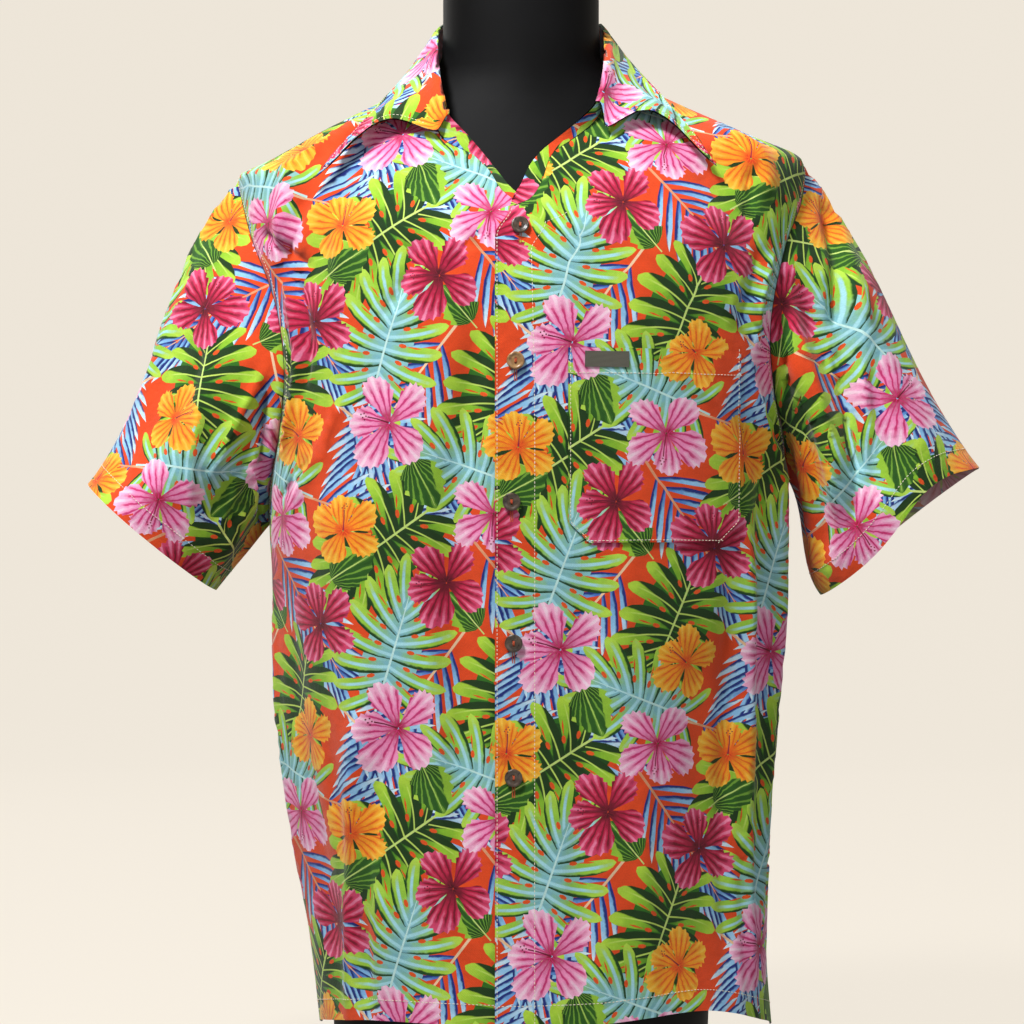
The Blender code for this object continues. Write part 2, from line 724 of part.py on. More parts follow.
def neck_shares():
    """Shares round one side of the neck, one for each grid row of its seam."""
    front = np.arange(NECK_ROWS + 1) / NECK_ROWS
    back = 1 + np.arange(1, BACK_NECK_ROWS + 1) / BACK_NECK_ROWS
    return np.concatenate([front, back])


def neck_seam(front, back):
    """The body's neckline on one side, from the front corner to the back."""
    return np.concatenate([front[BODY_ROWS + CHEST_ROWS:, 0], back[ROWS - BACK_NECK_ROWS:-1, 0][::-1]])


def join_sides(right_side, left_side):
    """Rows that run from the right front corner round the back to the left."""
    return np.concatenate([right_side, left_side[:-1][::-1]], axis=0)


def stand_grid(seams):
    """Outer points of the collar stand, in two rows, and their normals."""
    shares = neck_shares()
    low = join_sides(seams[RIGHT], seams[LEFT])
    upper_top = stand_top(shares, LEFT)
    upper_top[:, 1] -= LAP_RISE * neck_lap(shares)
    top = join_sides(stand_top(shares, RIGHT), upper_top)
    middle = 0.5 * (low + top)
    grid = np.stack([low, middle, top], axis=0)
    return grid, outward_from_neck(grid)


def outward_from_neck(grid):
    """Normals of a collar piece, turned away from the neck's middle line."""
    normals = outward(grid, 1)
    normals[:, 0], normals[:, -1] = normals[:, 1], normals[:, -2]
    away = grid - np.array([0.0, 5.0, 0.0])
    away[..., 2] = 0.0
    return normals if np.sum(normals * away) > 0 else -normals


def leaf_side(side, shares):
    """The leaf's dip, ridge and edge points on one side, section by section."""
    rows = LEAF[side]
    keys = [row.share for row in rows]
    dip = smooth_points(keys, [[r.dip_x, r.dip_y, r.dip_z] for r in rows], shares)
    ridge = smooth_points(keys, [[r.ridge_x, r.ridge_y, r.ridge_z] for r in rows], shares)
    edge_x = smooth_value(keys, [r.edge_x for r in rows], shares)
    edge_z = smooth_value(keys, [r.edge_z for r in rows], shares)
    lift = smooth_value(keys, [r.edge_lift for r in rows], shares)
    edge = []
    for share, x, z, rise in zip(shares, edge_x, edge_z, lift):
        face, turn = FRONT if share <= 1 else BACK, turn_at(x, z, side)
        spots = np.array([[torso(turn + i * 0.01, z + j, side, face) for i in (-1, 0, 1)]
                          for j in (-1, 0, 1)])
        normal = np.cross(spots[1, 2] - spots[1, 0], spots[2, 1] - spots[0, 1])
        normal = normal / np.linalg.norm(normal)
        normal = normal if normal[2] > 0 else -normal
        edge.append(spots[1, 1] + normal * (rise + COLLAR_WALL))
    return np.stack([dip, ridge, np.array(edge)], axis=1)


def leaf_grid(stand, stand_normals):
    """Outer points of the collar leaf, from the stand's top over the roll to its
    free edge, and their normals."""
    shares = neck_shares()
    first = {side: int(np.argmin(np.abs(shares - LEAF_START[side]))) for side in (RIGHT, LEFT)}
    columns = slice(first[RIGHT], 2 * len(shares) - 1 - first[LEFT])
    top, away = stand[-1, columns], stand_normals[-1, columns]
    rise = np.cross(np.gradient(top, axis=0), away)
    rise = rise / np.linalg.norm(rise, axis=1, keepdims=True)
    rise = np.where(rise[:, 2:] > 0, rise, -rise)
    start = top - away * COLLAR_WALL + rise * (SEAM_GAP + 0.05)
    crown = top - away * COLLAR_WALL * 0.3 + rise * ROLL_RISE
    roll = top + away * ROLL_OUT + rise * 0.6
    falls = join_sides(leaf_side(RIGHT, shares[first[RIGHT]:]), leaf_side(LEFT, shares[first[LEFT]:]))
    grid = []
    for c in range(len(top)):
        section = np.concatenate([[start[c], crown[c], roll[c]], falls[c]])
        run = run_lengths(section)
        places = run[2] + (run[-1] - run[2]) * np.linspace(0, 1, LEAF_ROWS - 1)[1:]
        grid.append(np.concatenate([section[:3], smooth_points(run, section, places)]))
    grid = np.array(grid).transpose(1, 0, 2)
    normals = outward(grid, 1)
    normals = normals if np.sum(normals[LEAF_ROWS // 2:, :, 2]) > 0 else -normals
    normals[0] = -away
    normals[1] = rise
    normals[2] = away * 0.9 + rise * 0.44
    return grid, normals


# ---------------------------------------------------------------- walls

def mitre(normals_a, normals_b, wall):
    """Inward offsets for both pieces at a seam, along its half angle."""
    both = normals_a + normals_b
    size = np.linalg.norm(both, axis=-1, keepdims=True)
    stretch = np.minimum(2.0 / np.maximum(size, 1e-6), MITRE_LIMIT)
    return -wall * stretch * both / np.maximum(size, 1e-6)


def shared_normals(normals_a, normals_b):
    """The half-way normals of two pieces that meet, once for each."""
    both = normals_a + normals_b
    both = both / np.maximum(np.linalg.norm(both, axis=-1, keepdims=True), 1e-6)
    return both, both


def pulled_back(edge, neighbours):
    """A seam edge moved half the seam gap towards its own piece."""
    away = neighbours - edge
    away = away / np.maximum(np.linalg.norm(away, axis=-1, keepdims=True), 1e-9)
    return edge + away * (0.5 * SEAM_GAP + 0.03)


class Wall:
    """A thin closed piece: a grid of outer points and the way to its inside."""

    def __init__(self, outer, normals, wall):
        self.outer = outer.copy()
        self.inward = -wall * normals

    def mesh(self, name, closed_round=False):
        """Build the closed wall as a mesh, in metres."""
        model = bmesh.new()
        self.add_to(model, closed_round)
        return finished_mesh(model, name)

    def add_to(self, model, closed_round=False, skip_first_column=0):
        """Add the wall's faces.  Rows below skip_first_column get no end rim in
        the first column, where the other half of a piece continues."""
        rows, columns = self.outer.shape[:2]
        if closed_round:
            columns -= 1
        inner = self.outer + self.inward
        near, far = ([[model.verts.new(Vector(points[r, c]) * MM) for c in range(columns)]
                      for r in range(rows)] for points in (self.outer, inner))
        last = columns if closed_round else columns - 1
        for r in range(rows - 1):
            for c in range(last):
                n = (c + 1) % columns
                model.faces.new((near[r][c], near[r][n], near[r + 1][n], near[r + 1][c]))
                model.faces.new((far[r][c], far[r + 1][c], far[r + 1][n], far[r][n]))
        for c in range(last):
            n = (c + 1) % columns
            model.faces.new((near[0][c], far[0][c], far[0][n], near[0][n]))
            model.faces.new((near[-1][c], near[-1][n], far[-1][n], far[-1][c]))
        if closed_round:
            return
        for r in range(rows - 1):
            if r >= skip_first_column:
                model.faces.new((near[r][0], near[r + 1][0], far[r + 1][0], far[r][0]))
            model.faces.new((near[r][-1], far[r][-1], far[r + 1][-1], near[r + 1][-1]))


def finished_mesh(model, name):
    """Weld, turn the faces outwards and return the mesh."""
    bmesh.ops.remove_doubles(model, verts=model.verts, dist=1e-6)
    bmesh.ops.recalc_face_normals(model, faces=model.faces)
    if model.calc_volume(signed=True) < 0:
        bmesh.ops.reverse_faces(model, faces=model.faces)
    mesh = bpy.data.meshes.new(name)
    model.to_mesh(mesh)
    model.free()
    mesh.shade_smooth()
    mesh.set_sharp_from_angle(angle=math.radians(40))
    return mesh


# ---------------------------------------------------------------- objects

def collection():
    """The collection that holds every piece."""
    found = bpy.data.collections.get(COLLECTION)
    if found is None:
        found = bpy.data.collections.new(COLLECTION)
        bpy.context.scene.collection.children.link(found)
    return found


def finish(name, look):
    """A plain material of its own for one piece."""
    material = bpy.data.materials.new(name + "_finish")
    material.use_nodes = True
    shader = material.node_tree.nodes["Principled BSDF"]
    shader.inputs["Base Color"].default_value = (*look.colour, 1.0)
    shader.inputs["Roughness"].default_value = look.roughness
    return material


def add_piece(name, mesh, look):
    """Link a named piece with its material."""
    piece = bpy.data.objects.new(name, mesh)
    piece.data.materials.append(finish(name, look))
    collection().objects.link(piece)
    return piece


# ---------------------------------------------------------------- pieces

class Shirt:
    """Works out every cloth piece and sews their edges to each other."""

    def __init__(self):
        self.fronts, self.backs, self.sleeves = {}, {}, {}
        for side, word in ((RIGHT, "right"), (LEFT, "left")):
            front, front_normals = half_panel("front_" + word, side, FRONT)
            back, back_normals = half_panel("back_" + word, side, BACK)
            sleeve, sleeve_normals = sleeve_grid("sleeve_" + word, side, front, back)
            self.fronts[side] = (front, front_normals)
            self.backs[side] = (back, back_normals)
            self.sleeves[side] = (sleeve, sleeve_normals)
        seams = {side: neck_seam(self.fronts[side][0], self.backs[side][0]) for side in (RIGHT, LEFT)}
        self.stand = stand_grid(seams)
        self.leaf = leaf_grid(*self.stand)
        self.walls = {}
        self.sew()

    def sew(self):
        """Make the walls, mitre them at each seam and open the seam gaps."""
        stand = Wall(*self.stand, COLLAR_WALL)
        stand_edge, necks = {}, {}
        count = len(neck_shares())
        stand_edge[RIGHT] = self.stand[1][0, :count]
        stand_edge[LEFT] = self.stand[1][0, count - 1 :][::-1]
        for side in (RIGHT, LEFT):
            front = Wall(*self.fronts[side], CLOTH_WALL)
            back = Wall(*self.backs[side], CLOTH_WALL)
            sleeve = Wall(*self.sleeves[side], CLOTH_WALL)
            f_normals, b_normals = self.fronts[side][1], self.backs[side][1]
            s_normals = self.sleeves[side][1]
            side_rows = slice(0, BODY_ROWS + 1)
            shared = mitre(f_normals[side_rows, -1], b_normals[side_rows, -1], CLOTH_WALL)
            front.inward[side_rows, -1] = shared
            back.inward[side_rows, -1] = shared
            shared = mitre(f_normals[-1], b_normals[-1], CLOTH_WALL)
            front.inward[-1] = shared
            back.inward[-1] = shared
            f_normals[-1], b_normals[-1] = shared_normals(f_normals[-1], b_normals[-1])
            f_normals[BODY_ROWS, -1], b_normals[BODY_ROWS, -1] = shared_normals(
                f_normals[BODY_ROWS, -1], b_normals[BODY_ROWS, -1])
            body = np.concatenate([f_normals[BODY_ROWS:, -1][::-1], b_normals[BODY_ROWS:, -1][1:]])
            shared = mitre(body, s_normals[0], CLOTH_WALL)
            sleeve.inward[0] = shared
            half = ARM_ROWS
            front.inward[BODY_ROWS:, -1] = shared[: half + 1][::-1]
            back.inward[BODY_ROWS:, -1] = shared[half:]
            neck = neck_seam(f_normals, b_normals)
            necks[side] = mitre(neck, stand_edge[side], CLOTH_WALL)
            front.inward[BODY_ROWS + CHEST_ROWS:, 0] = necks[side][: NECK_ROWS + 1]
            back.inward[ROWS - BACK_NECK_ROWS:, 0] = necks[side][NECK_ROWS:][::-1]
            for panel in (front, back):
                panel.outer[-1] = pulled_back(panel.outer[-1], panel.outer[-2])
                panel.outer[:, -1] = pulled_back(panel.outer[:, -1], panel.outer[:, -2])
            start = BODY_ROWS + CHEST_ROWS
            front.outer[start:, 0] = pulled_back(front.outer[start:, 0], front.outer[start:, 1])
            start = ROWS - BACK_NECK_ROWS + 1
            back.outer[start:, 0] = pulled_back(back.outer[start:, 0], back.outer[start:, 1])
            sleeve.outer[0] = pulled_back(sleeve.outer[0], sleeve.outer[1])
            self.walls[side] = (front, back, sleeve)
        middle = slice(0, ROWS - BACK_NECK_ROWS + 1)
        halves = [self.walls[side][1] for side in (RIGHT, LEFT)]
        shared = 0.5 * (halves[0].inward[middle, 0] + halves[1].inward[middle, 0])
        for half_back in halves:
            half_back.inward[middle, 0] = shared
        stand.inward[0] = join_sides(necks[RIGHT], necks[LEFT]) * COLLAR_WALL / CLOTH_WALL
        stand.inward[0, count - 1] = shared[-1] * COLLAR_WALL / CLOTH_WALL
        stand.outer[0] = pulled_back(stand.outer[0], stand.outer[1])
        self.walls["stand"] = stand
        self.walls["leaf"] = Wall(*self.leaf, COLLAR_WALL)

    def build(self):
        """Add the cloth pieces."""
        for side, word in ((RIGHT, "right"), (LEFT, "left")):
            front, _, sleeve = self.walls[side]
            add_piece("front_" + word, front.mesh("front_" + word), CLOTH_LOOK)
            add_piece("sleeve_" + word, sleeve.mesh("sleeve_" + word, closed_round=True), SLEEVE_LOOK)
        model = bmesh.new()
        for side in (RIGHT, LEFT):
            self.walls[side][1].add_to(model, skip_first_column=ROWS - BACK_NECK_ROWS)
        add_piece("back", finished_mesh(model, "back"), CLOTH_LOOK)
        add_piece("collar_stand", self.walls["stand"].mesh("collar_stand"), COLLAR_LOOK)
        add_piece("collar_leaf", self.walls["leaf"].mesh("collar_leaf"), COLLAR_LOOK)


def patch(name, x_range, z_range, columns, rows, rise, wall, chamfer, look):
    """A flat piece laid on the wearer's left front, with cut lower corners."""
    xs = np.linspace(*x_range, columns + 1)
    grid = np.zeros((rows + 1, columns + 1, 3))
    normals = np.zeros_like(grid)
    for c, x in enumerate(xs):
        from_end = min(x - x_range[0], x_range[1] - x)
        low = z_range[0] + max(0.0, chamfer - from_end)
        for r in range(rows + 1):
            z = low + (z_range[1] - low) * r / rows
            point, normal = upper_front_push(x, z)
            grid[r, c] = point + normal * (rise + wall)
            normals[r, c] = normal
    return add_piece(name, Wall(grid, normals, wall).mesh(name), look)


def add_form():
    """The dress form: one smooth turned-up torso with a neck and a flat foot."""
    model = bmesh.new()
    levels = []
    for ring in FORM:
        power = 2.0 / ring.fullness
        row = []
        for i in range(FORM_SIDES):
            angle = 2 * math.pi * i / FORM_SIDES
            c, s = math.cos(angle), math.sin(angle)
            depth = ring.back if s > 0 else ring.front
            x = ring.half_width * math.copysign(abs(c) ** power, c)
            y = depth * math.copysign(abs(s) ** power, s)
            row.append(model.verts.new(Vector((x, y, ring.z)) * MM))
        levels.append(row)
    for lower, upper in zip(levels, levels[1:]):
        for i in range(FORM_SIDES):
            n = (i + 1) % FORM_SIDES
            model.faces.new((lower[i], lower[n], upper[n], upper[i]))
    model.faces.new(levels[0][::-1])
    top = FORM[-1]
    cap = []
    for vert in levels[-1]:
        x, y, _ = vert.co
        cap.append(model.verts.new((x * NECK_TOP_SHRINK, y * NECK_TOP_SHRINK, NECK_TOP_Z * MM)))
    for i in range(FORM_SIDES):
        n = (i + 1) % FORM_SIDES
        model.faces.new((levels[-1][i], levels[-1][n], cap[n], cap[i]))
    model.faces.new(cap)
    return add_piece("dress_form", finished_mesh(model, "dress_form"), FORM_LOOK)


def turned(name, profile, sides):
    """A closed mesh turned round Z from its profile, which runs down its outside."""
    outline = bpy.data.meshes.new(name)
    points = [(radius * MM, 0.0, height * MM) for radius, height in profile]
    outline.from_pydata(points, [(i, i + 1) for i in range(len(points) - 1)], [])
    blank = bpy.data.objects.new(name, outline)
    bpy.context.scene.collection.objects.link(blank)
    spin = blank.modifiers.new("turn", "SCREW")
    spin.steps = spin.render_steps = sides
    spin.use_merge_vertices = True
    spin.merge_threshold = 0.00001
    mesh = bpy.data.meshes.new_from_object(blank.evaluated_get(bpy.context.evaluated_depsgraph_get()))
    bpy.data.objects.remove(blank)
    model = bmesh.new()
    model.from_mesh(mesh)
    return finished_mesh(model, name)


def drilled(mesh, places, radius, sides):
    """The mesh with round holes cut right through it along Z."""
    blank = bpy.data.objects.new("blank", mesh)
    bpy.context.scene.collection.objects.link(blank)
    drills = []
    for number, (x, y) in enumerate(places):
        bpy.ops.mesh.primitive_cylinder_add(vertices=sides, radius=radius * MM, depth=20 * MM,
                                            location=(x * MM, y * MM, 0))
        drills.append(bpy.context.object)
        cut = blank.modifiers.new(f"hole_{number}", "BOOLEAN")
        cut.operation, cut.object, cut.solver = "DIFFERENCE", drills[-1], "EXACT"
    mesh = bpy.data.meshes.new_from_object(blank.evaluated_get(bpy.context.evaluated_depsgraph_get()))
    for thing in (blank, *drills):
        bpy.data.objects.remove(thing)
    return mesh


def add_buttons():
    """Five two-hole buttons down the placket, each square to the cloth under it."""
    shared = drilled(turned("button", BUTTON_PROFILE, BUTTON_SIDES),
                     ((0, HOLE_OFFSET), (0, -HOLE_OFFSET)), HOLE_RADIUS, HOLE_SIDES)
    for number, place in enumerate(BUTTONS, 1):
        point, normal = upper_front_push(place.x, place.z)
        out = Vector(normal)
        up = (Vector((0, 0, 1)) - out * out.z).normalized()
        across = up.cross(out)
        turn = Matrix((across, up, out)).transposed().to_4x4()
        button = add_piece(f"button_{number}", shared.copy(), BUTTON_LOOK)
        button.matrix_world = Matrix.Translation((Vector(point) + out * BUTTON_RISE) * MM) @ turn


def clear_scene():
    """Remove what the new file starts with."""
    for thing in list(bpy.data.objects):
        bpy.data.objects.remove(thing)


def main():
    """Build the whole object."""
    clear_scene()
    add_form()
    Shirt().build()
    patch("pocket", POCKET_X, POCKET_Z, POCKET_COLUMNS, POCKET_ROWS, POCKET_RISE, POCKET_WALL,
          POCKET_CHAMFER, POCKET_LOOK)
    patch("pocket_tab", TAB_X, TAB_Z, TAB_COLUMNS, 1, POCKET_RISE + POCKET_WALL + TAB_RISE, TAB_WALL,
          0.0, TAB_LOOK)
    add_buttons()


main()
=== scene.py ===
"""A short-sleeved hawaiian shirt of printed cotton, buttoned up on a limbless dress form.

Lengths are in millimetres unless a name says otherwise.  +Z is up, -Y is the front and
the wearer's left is +X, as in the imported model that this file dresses.

Every cloth piece is worked out as a fine grid on the worn form, relaxed flat to find the
shape it was cut to, printed on that flat cut with a repeat of flowers and leaves, and
closed as a thin shell.
"""

import json
import logging
import math
from dataclasses import dataclass
from enum import Enum, IntEnum
from functools import cached_property
from typing import ClassVar, NamedTuple, Sequence

import bmesh
import bpy
import numpy as np
from mathutils import Matrix, Vector, kdtree
from mathutils.bvhtree import BVHTree
from mathutils.geometry import delaunay_2d_cdt

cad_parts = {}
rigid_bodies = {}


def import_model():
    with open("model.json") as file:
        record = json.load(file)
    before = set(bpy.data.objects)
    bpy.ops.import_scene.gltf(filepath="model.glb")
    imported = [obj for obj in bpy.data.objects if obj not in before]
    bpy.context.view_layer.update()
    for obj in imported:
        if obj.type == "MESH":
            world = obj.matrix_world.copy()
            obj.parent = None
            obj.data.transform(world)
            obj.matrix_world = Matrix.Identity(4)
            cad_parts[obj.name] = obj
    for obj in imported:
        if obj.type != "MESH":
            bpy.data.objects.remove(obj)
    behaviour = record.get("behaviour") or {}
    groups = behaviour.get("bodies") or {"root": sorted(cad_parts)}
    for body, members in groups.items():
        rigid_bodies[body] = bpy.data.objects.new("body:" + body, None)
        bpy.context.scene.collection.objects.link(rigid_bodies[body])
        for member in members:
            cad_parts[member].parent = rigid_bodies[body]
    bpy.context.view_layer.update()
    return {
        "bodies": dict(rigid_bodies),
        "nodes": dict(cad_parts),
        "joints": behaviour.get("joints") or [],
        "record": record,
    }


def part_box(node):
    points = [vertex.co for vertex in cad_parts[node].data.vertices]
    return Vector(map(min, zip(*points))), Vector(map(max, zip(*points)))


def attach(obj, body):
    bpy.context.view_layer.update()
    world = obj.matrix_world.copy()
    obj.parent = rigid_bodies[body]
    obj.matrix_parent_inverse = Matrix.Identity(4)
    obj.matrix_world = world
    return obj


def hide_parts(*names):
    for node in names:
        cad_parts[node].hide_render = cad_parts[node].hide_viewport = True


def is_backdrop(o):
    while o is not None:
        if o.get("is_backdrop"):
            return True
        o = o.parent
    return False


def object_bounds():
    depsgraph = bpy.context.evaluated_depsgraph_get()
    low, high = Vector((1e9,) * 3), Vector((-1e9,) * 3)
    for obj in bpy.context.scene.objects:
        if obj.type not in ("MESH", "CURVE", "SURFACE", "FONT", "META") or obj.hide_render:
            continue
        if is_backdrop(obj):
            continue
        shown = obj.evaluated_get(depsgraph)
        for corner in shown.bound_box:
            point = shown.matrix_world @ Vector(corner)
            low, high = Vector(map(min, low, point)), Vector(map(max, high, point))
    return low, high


MM = 0.001
BODY = "root"
LOG = logging.getLogger("hawaiian_shirt")

# The cloth, in mm unless it says otherwise
SHIRT_CLOTH = 0.9          # lawn of about 0.3 mm, drawn thick enough to catch the light
COLLAR_CLOTH = 1.3         # two layers with an interlining between
POCKET_CLOTH = 1.2
TAB_CLOTH = 0.7
LAP_RISE = 2.7             # how far the upper front stands off the lower one
LAP_FADE = (52.0, 102.0)   # and where from the edge it comes down again
SEWN_WITHIN = 0.05         # the halves of the back are one cloth where they come this close
SEAM_TUCK = 0.45           # how far a sewn edge sinks
SEAM_PULL = 0.18           # half of the hair's breadth between sewn edges
CORNER_NEATNESS = 1.2      # how fast a ring turns its corner at the side seam
FOLD_DEPTH = 1.25          # how much deeper folds and creases lie than their tables say
CREASE_DEPTH = 2.2
FOLD_ENDS = 0.25           # share of a fold's length over which it runs out
BODY_UNREST = 0.55         # about the most that the cloth rises and falls everywhere
SLEEVE_UNREST = 0.6
CALM_LAP = (38.0, 30.0)    # the placket lies flat for the first, and over the second stops
NECK_EASE = 22.0           # height over which the placket's edge swings into the neckline
BACK_NECK_CURVE = 1.6      # power by which the back neckline rises to the shoulder
ROW_CROWDING = 1.3         # how rows crowd towards the neck

# How far inside their edges the rows of topstitching lie, mm
HEM_TURN = 16.0
CUFF_TURN = 19.0           # and the pocket's mouth
PLACKET = 30.0
ARM_STITCH = 6.0
TOP_STITCH = 5.0
EDGE_STITCH = 1.8
LAP_STITCH = 1.6

# Shares of a panel's height where its edges change from one to the next
UNDERARM_SHARE = 11 / 29
FRONT_CORNER_SHARE = 19 / 29
BACK_CORNER_SHARE = 24 / 29
NECK_ROWS = 10

# The fine grids
PANEL_ROWS = 290
PANEL_COLUMNS = 108
SLEEVE_COLUMNS = 180
SLEEVE_ROWS = 90
FLAT_STEP = 10             # every so many grid lines take part in the flattening
FLAT_ROUNDS = 2500
FLAT_HASTE = 1.7           # over-relaxation


class Side(IntEnum):
    """A side of the wearer, as the sign of X."""
    RIGHT = -1
    LEFT = 1

    @property
    def word(self) -> str:
        """The side as it stands in a piece's name."""
        return "right" if self is Side.RIGHT else "left"


class Face(IntEnum):
    """The front or the back of the body, as the sign of Y."""
    FRONT = -1
    BACK = 1


# ---------------------------------------------------------------- curves

def bent(start: np.ndarray, leave: np.ndarray, end: np.ndarray, arrive: np.ndarray,
         f: np.ndarray) -> np.ndarray:
    """The place at a share of the way from start to end, leaving and arriving at given slopes."""
    return (start * (1 + 2 * f) * (1 - f) ** 2 + leave * f * (1 - f) ** 2
            + end * f * f * (3 - 2 * f) - arrive * f * f * (1 - f))


class Curve:
    """A smooth curve through a table's column that never overshoots its values."""

    def __init__(self, keys: Sequence[float], values: Sequence[float]) -> None:
        """Fit the curve.

        Args:
            keys: rising places along the curve.
            values: the curve's value at each of them.
        """
        self.keys, self.values = np.asarray(keys, float), np.asarray(values, float)
        steps = np.diff(self.keys)
        rises = np.diff(self.values) / steps
        self.slopes = np.zeros(len(self.keys))
        self.slopes[0], self.slopes[-1] = rises[0], rises[-1]
        for i in range(1, len(self.keys) - 1):
            before, after = rises[i - 1], rises[i]
            if before * after > 0.0:
                w_before = 2.0 * steps[i] + steps[i - 1]
                w_after = steps[i] + 2.0 * steps[i - 1]
                self.slopes[i] = (w_before + w_after) / (w_before / before + w_after / after)

    def __call__(self, at: np.ndarray) -> np.ndarray:
        """Read the curve at places on its keys."""
        i = np.clip(np.searchsorted(self.keys, at) - 1, 0, len(self.keys) - 2)
        step = self.keys[i + 1] - self.keys[i]
        f = np.clip((at - self.keys[i]) / step, 0.0, 1.0)
        return bent(self.values[i], self.slopes[i] * step, self.values[i + 1], self.slopes[i + 1] * step, f)


def smooth_points(keys: Sequence[float], points: Sequence, at: np.ndarray) -> np.ndarray:
    """A smooth curve through points in space.

    Args:
        keys: rising places along the curve.
        points: one point for each key.
        at: the places to read.

    Returns:
        One point for each place.
    """
    points = np.asarray(points, float)
    return np.stack([Curve(keys, points[:, k])(np.asarray(at, float)) for k in range(points.shape[1])],
                    axis=-1)


def run_lengths(points: np.ndarray, axis: int = 0) -> np.ndarray:
    """Length along chains of points up to each of them, where the last axis is a point."""
    steps = np.linalg.norm(np.diff(points, axis=axis), axis=-1)
    return np.insert(np.cumsum(steps, axis=axis), 0, 0.0, axis=axis)


def every(step: int, count: int) -> np.ndarray:
    """Every so many whole numbers below a count, and its last one."""
    return np.unique(np.append(np.arange(0, count, step), count - 1))


def soft_step(value: np.ndarray) -> np.ndarray:
    """0 below 0, 1 above 1 and a smooth ramp between."""
    value = np.clip(value, 0.0, 1.0)
    return value * value * (3 - 2 * value)


def new_mesh(name: str, points: Sequence, faces: Sequence, edges: Sequence = ()) -> bpy.types.Mesh:
    """A mesh from its points, faces and loose edges."""
    mesh = bpy.data.meshes.new(name)
    mesh.from_pydata(points, edges, faces)
    return mesh


def put(name: str, data: bpy.types.ID) -> bpy.types.Object:
    """Put an object with its mesh, light or camera into the scene."""
    made = bpy.data.objects.new(name, data)
    bpy.context.scene.collection.objects.link(made)
    return made


def finished(mesh: bpy.types.Mesh, finish: bpy.types.Material, sharp: float) -> bpy.types.Object:
    """Put a smooth mesh into the scene in one finish, sharp at edges past an angle in degrees."""
    mesh.materials.clear()
    mesh.materials.append(finish)
    mesh.polygons.foreach_set("use_smooth", [True] * len(mesh.polygons))
    mesh.set_sharp_from_angle(angle=math.radians(sharp))
    return put(mesh.name, mesh)


def declare(piece: bpy.types.Object, node: str = "") -> None:
    """Attach a piece to the body, hide the node it stands for, and log its face count."""
    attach(piece, BODY)
    if node:
        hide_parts(node)
    LOG.info("%s: %d faces", piece.name, len(piece.data.polygons))


def search_tree(points: Sequence) -> kdtree.KDTree:
    """A tree that finds the nearest of some points in a plane or in space."""
    tree = kdtree.KDTree(len(points))
    for number, point in enumerate(points):
        tree.insert(Vector(point).to_3d(), number)
    tree.balance()
    return tree


def unit(vectors: np.ndarray) -> np.ndarray:
    """Vectors scaled to length one."""
    return vectors / np.maximum(np.linalg.norm(vectors, axis=-1, keepdims=True), 1e-9)


# ---------------------------------------------------------------- worn form

# The worn shirt's level rings: height, reach to the right and left, middle, reach to the front
# and back, where the sides lie in Y, and fullness
TORSO = (
    (50, 159, 201, -4, 128, 127, 4, 2.3), (120, 167.5, 196, -4, 124, 123, 4, 2.3),
    (175, 174.5, 195, -4, 122, 120, 4, 2.3), (235, 184.5, 197.5, -5, 121, 118, 4, 2.3),
    (318, 194, 204, -6, 122, 119, 4, 2.3), (400, 197, 210, -6, 125, 126, 4, 2.3),
    (460, 201, 210, -6, 128, 133, 4, 2.3), (540, 201, 210, -5, 131, 140, 4, 2.3),
    (620, 205, 214, -4, 129, 143, 3, 2.3), (680, 218, 220, -3, 119, 139, 2, 2.3),
    (714, 223, 226, -2, 104, 132, 1, 2.25), (734, 226, 227, -1, 94, 126, 0, 2.2),
    (747, 202, 225, 0, 87, 121, 0, 2.2), (770, 161, 178, 0, 76, 112, 0, 2.2),
    (790, 121, 132, 0, 66, 102, 0, 2.2), (806, 91, 98, 0, 56, 93, 0, 2.2), (822, 70, 70, 0, 50, 82, 0, 2.2),
    (840, 60, 60, 0, 40, 71, 0, 2.2),
)
SHOULDER_POINT_Z = {Side.RIGHT: 734.0, Side.LEFT: 747.0}
SHOULDER_NECK_Z = 821.5
UNDERARM_Z = {Side.RIGHT: 458.0, Side.LEFT: 500.0}
BACK_NECK_Z = 838.0
CHEST_LEVEL_Z = 480.0
EDGE_X = {Side.RIGHT: 10.0, Side.LEFT: -20.0}
# The hems, as turns and heights
HEM = {
    (Face.FRONT, Side.RIGHT): ((-0.1, 78), (0.35, 80), (0.75, 70), (1, 60)),
    (Face.FRONT, Side.LEFT): ((-0.1, 78), (0.2, 80), (0.45, 86), (0.75, 70), (1, 58)),
    (Face.BACK, Side.RIGHT): ((0, 70), (0.6, 68), (1, 60)),
    (Face.BACK, Side.LEFT): ((0, 70), (0.6, 67), (1, 58)),
}
# The front necklines, as X and Z seen from the front
NECKLINE = {
    Side.RIGHT: ((4, 700), (-14, 713), (-25.5, 731), (-35, 741), (-59, 754.5),
                 (-67, 784), (-71.5, 806), (-71, 821.5)),
    Side.LEFT: ((-8.7, 699), (6.5, 705.4), (16.5, 723), (23.5, 743), (39, 755),
                (54.6, 767.7), (66, 789), (71, 807), (71, 821.5)),
}
# The armholes, as shares of their height and turns on the form
ARMHOLE = {
    Face.FRONT: ((0, 1), (0.1, 0.86), (0.25, 0.73), (0.45, 0.68), (0.7, 0.73),
                 (0.88, 0.85), (1, 1)),
    Face.BACK: ((0, 1), (0.1, 0.85), (0.25, 0.76), (0.5, 0.74), (0.75, 0.79),
                (0.9, 0.89), (1, 1)),
}


